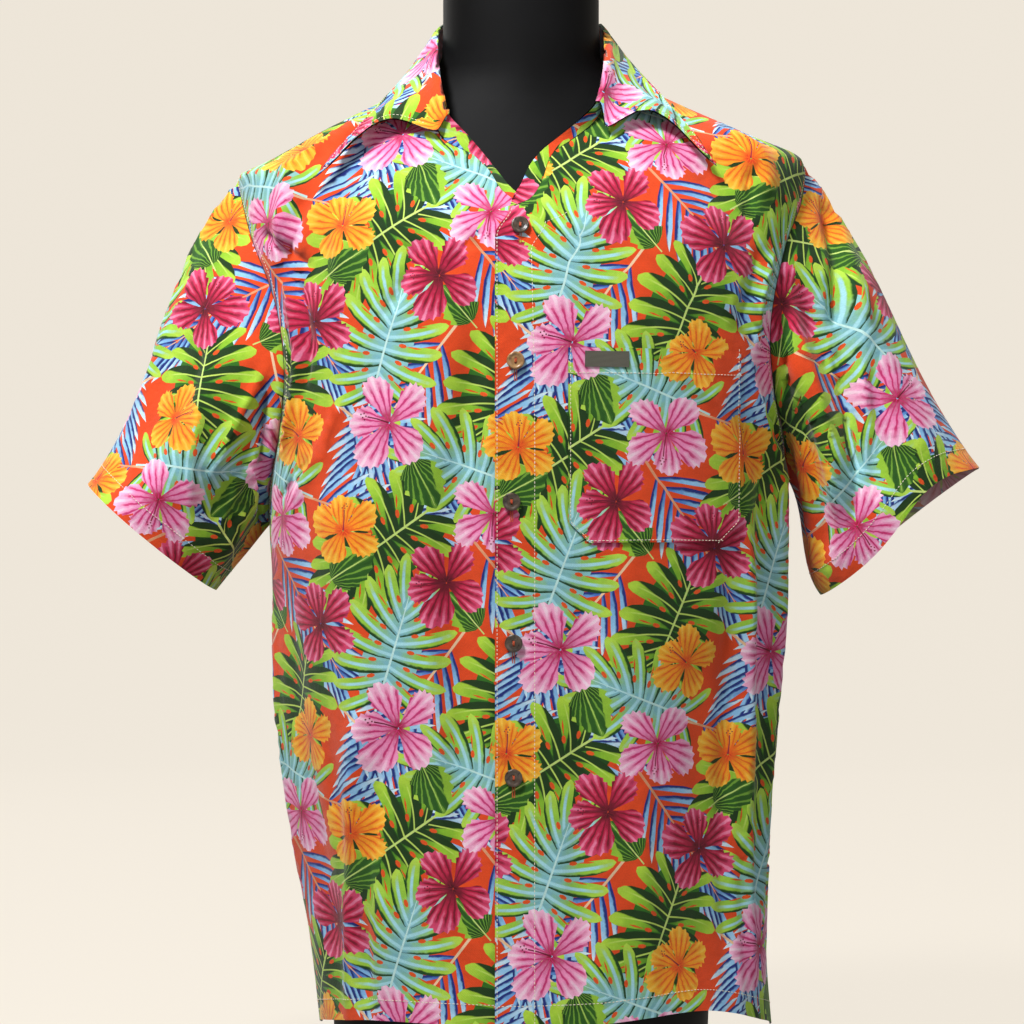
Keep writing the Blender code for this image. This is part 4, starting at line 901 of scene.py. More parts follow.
STAND_BOW = 0.8
LAP_LEAN = 280.0           # the lapped collar end leans out as if from this far behind, mm
PROBE = 0.01               # a small turn, over which a normal is measured
# The roll of the leaf, as places out of the stand's top edge and up from it, mm
ROLL = ((-COLLAR_CLOTH, 0.35), (-0.3 * COLLAR_CLOTH, 3.0), (2.8, 0.6))
# Sections of the collar leaf: share, dip and ridge as X, Y, Z, and the edge's X, Z and lift
LEAF = {
    Side.RIGHT: (
        (0.5, -66, -84, 762, -99, -77.5, 772, -157, 722, 7),
        (0.72, -76, -60, 797, -98, -58, 789, -132, 756, 5),
        (0.86, -78, -29, 822, -91, -31, 807, -111, 782, 4), (1, -75, 3, 843, -83, -1, 831, -98, 801, 3),
        (1.25, -67, 34, 858, -76, 40, 845, -92, 800, 3.5),
        (1.6, -42.5, 66.5, 865, -49, 76, 850, -58, 808, 4), (2, 0, 79.5, 867, 0, 90, 852, 0, 818, 4)),
    Side.LEFT: (
        (0.6, 66, -83, 765, 95.2, -77, 779, 148, 732, 7), (0.72, 76, -60, 797, 96, -58, 793, 134, 755, 5.5),
        (0.86, 78, -29, 823, 92, -30, 808, 115, 781, 4), (1, 76, 3, 844, 84, -1, 833, 103, 801, 3),
        (1.25, 67, 34, 858, 77, 40, 845, 97, 800, 3.5), (1.6, 42.5, 66.5, 865, 49, 76, 850, 62, 808, 4),
        (2, 0, 79.5, 867, 0, 90, 852, 0, 818, 4)),
}


def strip_flat(points: np.ndarray) -> np.ndarray:
    """The flat cut of a long strip whose rows run along it."""
    along, up = run_lengths(points, 1).mean(axis=0), run_lengths(points)
    return cut_flat(points, np.stack([np.broadcast_to(along, up.shape), up], axis=-1), row_step=4)


@dataclass
class Collar:
    """The collar: a stand sewn to the neckline, and a leaf folded down over it."""
    half_columns: int = 90
    stand_rows: int = 20
    leaf_rows: int = 60

    @cached_property
    def shares(self) -> np.ndarray:
        """Shares round one side of the neck."""
        return np.linspace(0, 2, self.half_columns + 1)

    @staticmethod
    def join(right: np.ndarray, left: np.ndarray) -> np.ndarray:
        """Rows that run from the right front corner round the back to the left."""
        return np.concatenate([right, left[:-1][::-1]], axis=0)

    def seam(self, side: Side) -> np.ndarray:
        """The body's neckline on one side, from the front corner to the back."""
        front, back = BodyPanel(side, Face.FRONT), BodyPanel(side, Face.BACK)
        ahead = self.shares <= 1.0
        turn, z = front.neck_edge(self.shares[ahead])
        points = FORM.point(turn, z, side, Face.FRONT)
        if side is Side.LEFT:
            slope = points - FORM.point(turn, z + 1.0, side, Face.FRONT)
            out = unit(np.stack([points[:, 0] / LAP_LEAN, -np.ones(len(points)), -slope[:, 1]], axis=1))
            up = FRONT_CORNER_SHARE + (1 - FRONT_CORNER_SHARE) * self.shares[ahead]
            points = points + out * front.lap_push(np.zeros(len(up)), up)[:, None]
        turn, z = back.neck_edge(2.0 - self.shares[~ahead])
        return np.concatenate([points, FORM.point(turn, z, side, Face.BACK)])

    def stand(self) -> ClothGrid:
        """The stand: a band from the neckline up to the fold."""
        low = self.join(self.seam(Side.RIGHT), self.seam(Side.LEFT))
        tops = {}
        for side in Side:
            stations = np.array(STAND_TOP[side])
            tops[side] = smooth_points(stations[:, 0], stations[:, 1:], self.shares)
        tops[Side.LEFT][:, 1] -= LAP_RISE * (1 - soft_step((self.shares * NECK_ROWS - 1) / 2.0))
        top = self.join(tops[Side.RIGHT], tops[Side.LEFT])
        rise = np.linspace(0, 1, self.stand_rows + 1)[:, None, None]
        grid = low + (top - low) * rise
        normals = outward(grid, 1)
        normals[:, 0], normals[:, -1] = normals[:, 1], normals[:, -2]
        away = grid - np.array([0.0, 5.0, 0.0])
        away[..., 2] = 0.0
        normals = normals if np.sum(normals * away) > 0 else -normals
        grid = grid + normals * (STAND_BOW * np.sin(math.pi * rise))
        grid[0] += unit(grid[1] - grid[0]) * SEAM_PULL - normals[0] * SEAM_TUCK
        return ClothGrid(grid, normals, strip_flat(grid))

    def fall(self, side: Side, shares: np.ndarray) -> np.ndarray:
        """The leaf's dip, ridge and edge points on one side, section by section."""
        stations = np.array(LEAF[side])
        dip, ridge, ends = (smooth_points(stations[:, 0], stations[:, k:k + 3], shares) for k in (1, 4, 7))
        edge = []
        for share, (x, z, lift) in zip(shares, ends):
            face = Face.FRONT if share <= 1 else Face.BACK
            turn = float(FORM.turn_at(x, z, side))
            spots = np.array([[FORM.point(turn + i * PROBE, z + j, side, face) for i in (-1, 0, 1)]
                              for j in (-1, 0, 1)])
            normal = unit(np.cross(spots[1, 2] - spots[1, 0], spots[2, 1] - spots[0, 1]))
            normal = normal if normal[2] > 0 else -normal
            edge.append(spots[1, 1] + normal * (lift + COLLAR_CLOTH))
        return np.stack([dip, ridge, np.array(edge)], axis=1)

    def leaf(self, stand: ClothGrid) -> ClothGrid:
        """The leaf: from the stand's top over the roll to its free edge."""
        shares = self.shares
        first = {side: int(np.argmin(np.abs(shares - LEAF_START[side]))) for side in Side}
        columns = slice(first[Side.RIGHT], 2 * len(shares) - 1 - first[Side.LEFT])
        top, away = stand.points[-1, columns], stand.normals[-1, columns]
        rise = unit(np.cross(np.gradient(top, axis=0), away))
        rise = np.where(rise[:, 2:] > 0, rise, -rise)
        roll = [top + away * out + rise * up for out, up in ROLL]
        falls = self.join(self.fall(Side.RIGHT, shares[first[Side.RIGHT]:]),
                          self.fall(Side.LEFT, shares[first[Side.LEFT]:]))
        sections = np.concatenate([np.stack(roll, axis=1), falls], axis=1)
        runs = run_lengths(sections, 1)
        grid = np.stack([smooth_points(run, section, np.linspace(0, run[-1], self.leaf_rows + 1))
                         for run, section in zip(runs, sections)], axis=1)
        normals = outward(grid, 1)
        normals = normals if np.sum(normals[self.leaf_rows // 2:, :, 2]) > 0 else -normals
        return ClothGrid(grid, normals, strip_flat(grid))


# ---------------------------------------------------------------- the print

class Ink(Enum):
    """One ink of the print, with its own way of running along a petal or a blade."""
    GROUND = "ground"
    FROND_BLADE = "frond_blade"
    FROND_RIB = "frond_rib"
    LEAF_BODY = "leaf_body"
    LEAF_LOBE = "leaf_lobe"
    LEAF_HOLE = "leaf_hole"
    LEAF_RIB = "leaf_rib"
    COOL_BODY = "cool_body"
    COOL_LOBE = "cool_lobe"
    COOL_RIB = "cool_rib"
    YOUNG_LEAF = "young_leaf"
    CRIMSON_PETAL = "crimson_petal"
    PINK_PETAL = "pink_petal"
    ORANGE_PETAL = "orange_petal"
    PISTIL = "pistil"


# Inks that lie flat, so that shapes in them run together where they meet
PLAIN_INKS = (Ink.GROUND, Ink.FROND_RIB, Ink.LEAF_BODY, Ink.LEAF_HOLE, Ink.LEAF_RIB, Ink.COOL_BODY,
              Ink.COOL_RIB, Ink.PISTIL)


class Shape(NamedTuple):
    """One printed shape: its ink, its outline, and the frame that its pattern runs in.

    The frame starts at the origin, is turned by an angle, has the reach as its unit of
    length, and is mirrored where the hand is -1.
    """
    ink: Ink
    outline: np.ndarray
    origin: tuple[float, float]
    turn: float
    reach: float
    hand: int


def turned_about(points: np.ndarray, origin: Sequence[float], turn: float) -> np.ndarray:
    """Points turned by an angle in radians and moved to an origin."""
    c, s = math.cos(turn), math.sin(turn)
    return np.stack([origin[0] + points[:, 0] * c - points[:, 1] * s,
                     origin[1] + points[:, 0] * s + points[:, 1] * c], axis=1)


def both_sides(stations: Sequence[float], widths: Sequence[float], bend: float = 0.0) -> np.ndarray:
    """An outline of unit reach that runs out along one side and back along the other.

    Args:
        stations: places along the middle line, as shares of the reach.
        widths: the half width at each, as a share of the reach.
        bend: how far the middle line's end swings sideways.

    Returns:
        The outline's points.
    """
    x, w = np.asarray(stations, float), np.asarray(widths, float)
    middle = bend * x * np.abs(x)
    right = np.stack([x, middle - w], axis=1)
    left = np.stack([x, middle + w], axis=1)[::-1]
    return np.concatenate([right, left])


def blade(ink: Ink, outline: np.ndarray, root: Sequence[float], turn: float, reach: float,
          hand: int = 1) -> Shape:
    """A shape of unit reach, put at its root.

    Args:
        ink: what it is printed in.
        outline: its points, drawn along +X for a reach of one.
        root: where it starts, mm.
        turn: which way it runs, radians.
        reach: its length, mm.
        hand: -1 to mirror it.

    Returns:
        The shape in its motif's frame.
    """
    sized = (outline * np.array([1.0, hand]) * reach)[::hand]
    return Shape(ink, turned_about(sized, root, turn), (float(root[0]), float(root[1])), turn, reach, hand)


class Motif:
    """A flower or leaf of the print, drawn along +X from its own origin."""

    def shapes(self) -> list[Shape]:
        """The motif's shapes, the lowest first."""
        raise NotImplementedError

    def placed(self, x: float, y: float, turn: float, size: float) -> list[Shape]:
        """The motif's shapes, scaled, turned by degrees and moved into the repeat."""
        angle = math.radians(turn)
        moved = []
        for shape in self.shapes():
            origin = turned_about(np.array([shape.origin]) * size, (x, y), angle)[0]
            moved.append(shape._replace(outline=turned_about(shape.outline * size, (x, y), angle),
                                        origin=(float(origin[0]), float(origin[1])),
                                        turn=shape.turn + angle, reach=shape.reach * size))
        return moved


@dataclass
class Hibiscus(Motif):
    """A five-petalled hibiscus with ragged edges and a long pistil."""
    petal: Ink
    length: float = 36.0
    width: float = 1.0
    twist: float = 0.0

    def shapes(self) -> list[Shape]:
        """Five petals, each over the last, then the pistil and its dots."""
        x = np.array([0.02, 0.18, 0.36, 0.50, 0.60, 0.66, 0.74, 0.78, 0.86, 0.88, 0.97, 0.94, 1.02])
        w = np.array([0.05, 0.11, 0.21, 0.31, 0.37, 0.335, 0.375, 0.315, 0.33, 0.25, 0.22, 0.13, 0.07])
        found = []
        for number, k in enumerate((0, 2, 4, 1, 3)):
            turn = 2 * math.pi * k / 5 + self.twist + 0.10 * math.sin(5.0 * k + self.twist)
            grow = (1.0, 0.88, 1.06, 0.94, 0.98)[k]
            wide = w * self.width * (0.92, 1.06, 1.0, 1.08, 0.9)[k]
            wide = wide * (1 + 0.06 * np.sin(np.arange(len(x)) * (2.1 + 0.3 * k)))
            outline = both_sides(x, wide, 0.14 * (-1) ** k)
            found.append(blade(self.petal, outline, (0, 0), turn, self.length * grow, (-1) ** number))
        turn = self.twist + 1.0
        reach = 0.5 * self.length
        stem = both_sides([0, 0.6, 1.0], [0.035, 0.025, 0.03], 0.1)
        found.append(blade(Ink.PISTIL, stem, (0, 0), turn, reach))
        a = np.linspace(0, 2 * math.pi, 6)[:-1]
        dot = 0.04 * np.stack([np.cos(a), np.sin(a)], axis=1)
        for dx, dy in ((1.08, 0.10), (1.20, 0.20), (1.20, 0.02), (1.32, 0.11), (1.09, 0.26)):
            found.append(blade(Ink.PISTIL, dot + (dx, dy), (0, 0), turn, reach))
        return found


@dataclass
class SplitLeaf(Motif):
    """A monstera leaf: a broad heart that runs out in lobes, with holes along its midrib."""
    body: Ink
    lobe: Ink
    rib: Ink
    length: float = 84.0
    lobes: int = 8
    heart: float = 0.66
    fullness: float = 0.95

    def shapes(self) -> list[Shape]:
        """The heart, the lobes from the tip back, the holes between them and the rib."""
        lobes, holes, rims = [], [], {-1: [], 1: []}
        x = np.array([0.0, 0.25, 0.48, 0.70, 0.85, 0.95, 1.0])
        w = np.array([0.10, 0.135, 0.16, 0.162, 0.138, 0.085, 0.01])
        oval = np.linspace(0, 2 * math.pi, 8)[:-1]
        oval = np.stack([np.cos(oval), np.sin(oval)], axis=1)
        slit = both_sides([-1.0, 0.2, 1.0], [0.04, 0.14, 0.02])
        for side in (-1, 1):
            for k in range(self.lobes):
                f = k / (self.lobes - 1)
                root = (self.length * (0.02 + 0.78 * f), 0.0)
                turn = side * math.radians(142 - 116 * f)
                reach = self.length * (0.41 + 0.16 * math.sin(math.pi * (0.12 + 0.66 * f)))
                reach *= 0.96 + 0.04 * ((k * 7 + (side > 0) * 3) % 3)
                wide = w * self.fullness * (1.0 + 0.08 * math.sin(3.0 * k + side))
                lobes.append(blade(self.lobe, both_sides(x, wide, -0.22), root, turn, reach, side))
                end = np.array([[self.heart, -0.22 * side * self.heart ** 2]])
                rims[side].append(turned_about(end * reach, root, turn)[0])
                if k < self.lobes - 1:
                    between = turn - side * math.radians(58 / (self.lobes - 1))
                    step = np.array([math.cos(between), math.sin(between)])
                    middle = np.array([root[0] + 0.39 * self.length / (self.lobes - 1), 0.0])
                    holes.append(blade(Ink.LEAF_HOLE, oval * (1.0, 0.5), middle + step * 0.30 * reach,
                                       between, 0.040 * self.length))
                    if 0 < k < self.lobes - 2:
                        holes.append(blade(Ink.LEAF_HOLE, slit, middle + step * 0.52 * reach,
                                           between, 0.066 * self.length))
        heart = np.array([(0.0, 0.0)] + rims[-1] + [(self.length, 0.0)] + rims[1][::-1]) / self.length
        rib = both_sides([-0.24, 0.3, 0.7, 0.98], [0.011, 0.010, 0.007, 0.002])
        return ([blade(self.body, heart, (0, 0), 0.0, self.length)] + lobes[::-1] + holes
                + [blade(self.rib, rib, (0, 0), 0.0, self.length)])


@dataclass
class PalmFrond(Motif):
    """A palm frond: narrow blades down both sides of a slender rib."""
    length: float = 132.0
    blades: int = 12

    def shapes(self) -> list[Shape]:
        """The blades, then the rib."""
        found = []
        for k in range(self.blades):
            f = k / (self.blades - 1)
            for side in (-1, 1):
                root = (self.length * (0.06 + 0.86 * f), 0.0)
                turn = side * math.radians(52 - 32 * f)
                reach = self.length * (0.36 + 0.13 * math.sin(math.pi * (0.1 + 0.7 * f)))
                reach *= 0.92 + 0.05 * ((k * 5 + (side > 0) * 2) % 4)
                outline = both_sides([0, 0.3, 0.62, 0.88], [0.02, 0.048, 0.056, 0.03], -0.12)
                outline = np.insert(outline, 4, [1.0, -0.12], axis=0)
                found.append(blade(Ink.FROND_BLADE, outline, root, turn, reach, side))
        rib = both_sides([-0.10, 0.4, 0.8, 1.0], [0.009, 0.007, 0.005, 0.002])
        return found + [blade(Ink.FROND_RIB, rib, (0, 0), 0.0, self.length)]


@dataclass
class YoungLeaf(Motif):
    """A young leaf: a dark heart with bright notched edges."""
    length: float = 36.0

    def shapes(self) -> list[Shape]:
        """The notched leaf and its rib."""
        x = np.array([-0.10, 0.0, 0.14, 0.20, 0.36, 0.42, 0.58, 0.64, 0.80, 0.84, 0.95, 1.0])
        w = np.array([0.10, 0.28, 0.43, 0.36, 0.46, 0.37, 0.41, 0.31, 0.27, 0.18, 0.08, 0.01])
        rib = both_sides([-0.30, 0.4, 0.95], [0.017, 0.013, 0.003])
        return [blade(Ink.YOUNG_LEAF, both_sides(x, w), (0, 0), 0.0, self.length),
                blade(Ink.LEAF_RIB, rib, (0, 0), 0.0, self.length)]


MOTIFS: dict[str, Motif] = {
    "frond": PalmFrond(),
    "green_leaf": SplitLeaf(Ink.LEAF_BODY, Ink.LEAF_LOBE, Ink.LEAF_RIB),
    "cool_leaf": SplitLeaf(Ink.COOL_BODY, Ink.COOL_LOBE, Ink.COOL_RIB, heart=0.48, fullness=0.80),
    "young_leaf": YoungLeaf(),
    "crimson": Hibiscus(Ink.CRIMSON_PETAL, twist=0.3),
    "pink": Hibiscus(Ink.PINK_PETAL, length=38.0, width=0.96, twist=0.9),
    "orange": Hibiscus(Ink.ORANGE_PETAL, length=30.0, width=1.08, twist=0.1),
}
REPEAT = (184.0, 232.0)
# Where motifs stand in the repeat: X and Y of their middles, turn in degrees and size
LAYOUT = (
    ("frond", 14, 190, -52, 0.92), ("frond", 176, 120, -128, 0.90), ("frond", 96, 64, -38, 0.86),
    ("frond", 60, 232, -14, 0.76), ("green_leaf", 44, 104, -112, 0.98), ("green_leaf", 150, 216, -146, 1.0),
    ("cool_leaf", 118, 84, 72, 0.98), ("cool_leaf", 42, 8, 160, 0.94), ("young_leaf", 84, 172, 30, 1.0),
    ("young_leaf", 150, 24, -66, 1.0), ("young_leaf", 8, 134, 130, 0.9), ("crimson", 66, 136, 12, 0.98),
    ("pink", 130, 56, 50, 0.98), ("crimson", 170, 166, 100, 0.92), ("orange", 92, 208, 20, 1.0),
    ("pink", 24, 218, 150, 0.92), ("orange", 46, 48, 75, 0.96),
)


class PrintRepeat:
    """One repeat of the print, as a flat triangle mesh whose faces know their shape."""

    lattice = 8.0
    clear = 0.42               # share of the lattice that its points keep off the outlines
    straightness = 0.2

    def __init__(self) -> None:
        """Lay the motifs out, with their wraps over the repeat's edges, and cut them up."""
        width, height = REPEAT
        self.shapes: list[Shape] = [Shape(Ink.GROUND, np.array(
            [[0, 0], [width, 0], [width, height], [0, height]], float), (0.0, 0.0), 0.0, 1.0, 1)]
        for motif, *place in LAYOUT:
            for shape in MOTIFS[motif].placed(*place):
                low, high = shape.outline.min(axis=0), shape.outline.max(axis=0)
                for i in (-1, 0, 1):
                    for j in (-1, 0, 1):
                        off = np.array([i * width, j * height])
                        if np.all(high + off > 0) and np.all(low + off < REPEAT):
                            origin = (shape.origin[0] + off[0], shape.origin[1] + off[1])
                            self.shapes.append(shape._replace(outline=shape.outline + off, origin=origin))
        self.vertices, self.faces, self.owner = self.cut_up()

    def cut_up(self) -> tuple[np.ndarray, np.ndarray, np.ndarray]:
        """Cut the repeat along every outline and give each triangle to the topmost shape."""
        coordinates = [Vector(p) for p in np.concatenate([shape.outline for shape in self.shapes])]
        ends = np.cumsum([0] + [len(shape.outline) for shape in self.shapes])
        loops = [list(range(start, end)) for start, end in zip(ends, ends[1:])]
        vertices, _, faces, _, _, owners = delaunay_2d_cdt(coordinates, [], loops, 0, 1e-3)
        plain = {shape.ink: n for n, shape in enumerate(self.shapes) if shape.ink in PLAIN_INKS}
        rough = bmesh.new()
        corners = [rough.verts.new((v[0], v[1], 0.0)) for v in vertices]
        for face, shapes in zip(faces, owners):
            if 0 in shapes:
                top = max(shapes)
                top = plain.get(self.shapes[top].ink, top)
                rough.faces.new([corners[n] for n in face]).material_index = top
        bmesh.ops.dissolve_limit(rough, angle_limit=self.straightness, use_dissolve_boundaries=False,
                                 verts=rough.verts, edges=rough.edges, delimit={"MATERIAL"})
        for vertex in [v for v in rough.verts if not v.link_faces]:
            rough.verts.remove(vertex)
        return self.cut_again(rough)

    def cut_again(self, rough: bmesh.types.BMesh) -> tuple[np.ndarray, np.ndarray, np.ndarray]:
        """Cut the repeat once more, along the outlines that show and a loose lattice.

        Args:
            rough: the repeat with one face for each part of a shape that shows.

        Returns:
            Vertices, triangles, and each triangle's shape.
        """
        width, height = REPEAT
        rough.faces.ensure_lookup_table()
        seams = [e for e in rough.edges
                 if len(e.link_faces) < 2 or e.link_faces[0].material_index != e.link_faces[1].material_index]
        used = {v: n for n, v in enumerate(dict.fromkeys(v for e in seams for v in e.verts))}
        lines = [(used[e.verts[0]], used[e.verts[1]]) for e in seams]
        places = [Vector(v.co[:2]) for v in used]
        middles = [0.5 * (Vector(e.verts[0].co[:2]) + Vector(e.verts[1].co[:2])) for e in seams]
        tree = search_tree(places + middles)
        columns, rows = round(width / self.lattice), round(height / self.lattice)
        for r in range(rows):
            for c in range(columns):
                x, y = (c + 0.25 + 0.5 * (r % 2)) * width / columns, (r + 0.5) * height / rows
                if tree.find((x, y, 0.0))[2] > self.clear * self.lattice:
                    places.append(Vector((x, y)))
        vertices, _, faces, _, _, _ = delaunay_2d_cdt(places, lines, [], 0, 1e-3)
        flat = np.array([tuple(v) for v in vertices])
        triangles = np.array(faces)
        finder = BVHTree.FromBMesh(rough)
        owner = []
        for x, y in flat[triangles].mean(axis=1):
            hit = finder.ray_cast(Vector((x, y, 1.0)), Vector((0, 0, -1)))[2]
            owner.append(rough.faces[hit].material_index if hit is not None else 0)
        rough.free()
        return flat, triangles, np.array(owner)


# ---------------------------------------------------------------- printed cloth

class ClothFace(NamedTuple):
    """The face side of a cut piece, as triangles that know which printed shape they show."""
    points: np.ndarray
    normals: np.ndarray
    flat: np.ndarray
    faces: np.ndarray
    owner: np.ndarray
    tile: np.ndarray

    @classmethod
    def plain(cls, grid: ClothGrid) -> "ClothFace":
        """A grid as it is, with nothing printed on it."""
        rows, columns = grid.points.shape[:2]
        number = np.arange(rows * columns).reshape(rows, columns)
        a, b, c, d = number[:-1, :-1], number[:-1, 1:], number[1:, 1:], number[1:, :-1]
        faces = np.concatenate([np.stack([a, b, c], axis=-1).reshape(-1, 3),
                                np.stack([a, c, d], axis=-1).reshape(-1, 3)])
        return cls(grid.points.reshape(-1, 3), grid.normals.reshape(-1, 3), grid.flat.reshape(-1, 2), faces,
                   np.zeros(len(faces), int), np.zeros((len(faces), 2)))

    def joined(self, other: "ClothFace") -> "ClothFace":
        """This face and another, sewn where their points meet."""
        tree = search_tree(self.points)
        new = np.arange(len(other.points)) + len(self.points)
        for number in np.nonzero(np.abs(other.flat[:, 0]) < SEWN_WITHIN)[0]:
            _, hit, gap = tree.find(other.points[number])
            if gap < SEWN_WITHIN:
                new[number] = hit
        kept = new >= len(self.points)
        new[kept] = len(self.points) + np.arange(int(kept.sum()))
        added = other._replace(points=other.points[kept], normals=other.normals[kept], flat=other.flat[kept],
                               faces=new[other.faces])
        return ClothFace(*(np.concatenate(parts) for parts in zip(self, added)))


class Bolt:
    """Printed cloth by the yard, off which the pieces are cut."""

    reach = 22.0               # how far the print is laid out past a piece's flat cut, mm
    weld = 0.02                # how close the repeats' edges come where they meet
    on_fold = 1e-4             # what counts as lying on the line between two halves

    def __init__(self, repeat: PrintRepeat) -> None:
        """Keep the repeat that the bolt is printed with."""
        self.repeat = repeat

    def spread(self, low: np.ndarray, high: np.ndarray, start: Sequence[float]) -> tuple:
        """Lay out the repeats that cover a box of the flat cloth.

        Args:
            low: the box's lowest corner, mm.
            high: its highest corner.
            start: where a repeat's corner lies.

        Returns:
            Vertices, triangles, and each triangle's shape and repeat's corner.
        """
        size = np.array(REPEAT)
        first, last = (np.floor((end - start) / size).astype(int) for end in (low, high))
        steps = np.meshgrid(*(np.arange(a, b + 1) for a, b in zip(first, last)), indexing="ij")
        corners = start + size * np.stack(steps, axis=-1).reshape(-1, 2)
        repeat, count = self.repeat, len(corners)
        points = (corners[:, None] + repeat.vertices).reshape(-1, 2)
        shift = len(repeat.vertices) * np.arange(count)[:, None, None]
        faces = (repeat.faces + shift).reshape(-1, 3)
        inside = np.all((points > low - self.reach) & (points < high + self.reach), axis=1)
        keep = inside[faces].all(axis=1)
        tiles = np.repeat(corners, len(repeat.faces), axis=0)
        return points, faces[keep], np.tile(repeat.owner, count)[keep], tiles[keep]

    def cut(self, grid: ClothGrid, start: Sequence[float], half: int = 0) -> ClothFace:
        """Cut a piece off the bolt and put it on.

        Args:
            grid: the piece.
            start: where a repeat's corner lies on its flat cut, mm.
            half: the sign of the half across that is kept, or 0 for the whole.

        Returns:
            The piece's face side.
        """
        low, high = grid.flat.min(axis=(0, 1)), grid.flat.max(axis=(0, 1))
        points, faces, owners, tiles = self.spread(low, high, start)
        mesh = bmesh.new()
        owner, tile_x, tile_y = (mesh.faces.layers.float.new(name) for name in ("owner", "tile_x", "tile_y"))
        used, faces = np.unique(faces, return_inverse=True)
        corners = [mesh.verts.new((x, y, 0.0)) for x, y in points[used]]
        for face, which, tile in zip(faces.reshape(-1, 3), owners, tiles):
            made = mesh.faces.new([corners[n] for n in face])
            made[owner], made[tile_x], made[tile_y] = float(which), tile[0], tile[1]
        bmesh.ops.remove_doubles(mesh, verts=mesh.verts, dist=self.weld)
        if half:
            self.clip(mesh, (0.0, 0.0), (-half, 0.0))
        flat = np.array([v.co[:2] for v in mesh.verts])
        places, near = grid.find(grid.flat, flat, self.reach)
        rows, columns = np.array(grid.flat.shape[:2]) - 1
        if half:
            places[np.abs(flat[:, 0]) < self.on_fold, 1] = 0.0
        for vertex, (r, c) in zip(mesh.verts, places):
            vertex.co = (r, c, 0.0)
        lost = [v for v, ok in zip(mesh.verts, near) if not ok]
        bmesh.ops.delete(mesh, geom=lost, context="VERTS")
        for spot, away in (((0, 0), (-1, 0)), ((rows, 0), (1, 0)), ((0, 0), (0, -1)), ((0, columns), (0, 1))):
            self.clip(mesh, spot, away)
        bmesh.ops.triangulate(mesh, faces=mesh.faces)
        loose = [v for v in mesh.verts if not v.link_faces]
        bmesh.ops.delete(mesh, geom=loose, context="VERTS")
        mesh.verts.index_update()
        places = np.clip(np.array([v.co[:2] for v in mesh.verts]), 0, (rows, columns))
        found = ClothFace(grid.read(grid.points, places), unit(grid.read(grid.normals, places)),
                          grid.read(grid.flat, places),
                          np.array([[v.index for v in f.verts] for f in mesh.faces]),
                          np.array([round(f[owner]) for f in mesh.faces]),
                          np.array([(f[tile_x], f[tile_y]) for f in mesh.faces]))
        mesh.free()
        return found

    @staticmethod
    def clip(mesh: bmesh.types.BMesh, spot: Sequence[float], away: Sequence[float]) -> None:
        """Cut off what lies beyond a line."""
        bmesh.ops.bisect_plane(mesh, geom=mesh.verts[:] + mesh.edges[:] + mesh.faces[:], dist=1e-3,
                               plane_co=(*spot, 0), plane_no=(*away, 0), clear_outer=True)


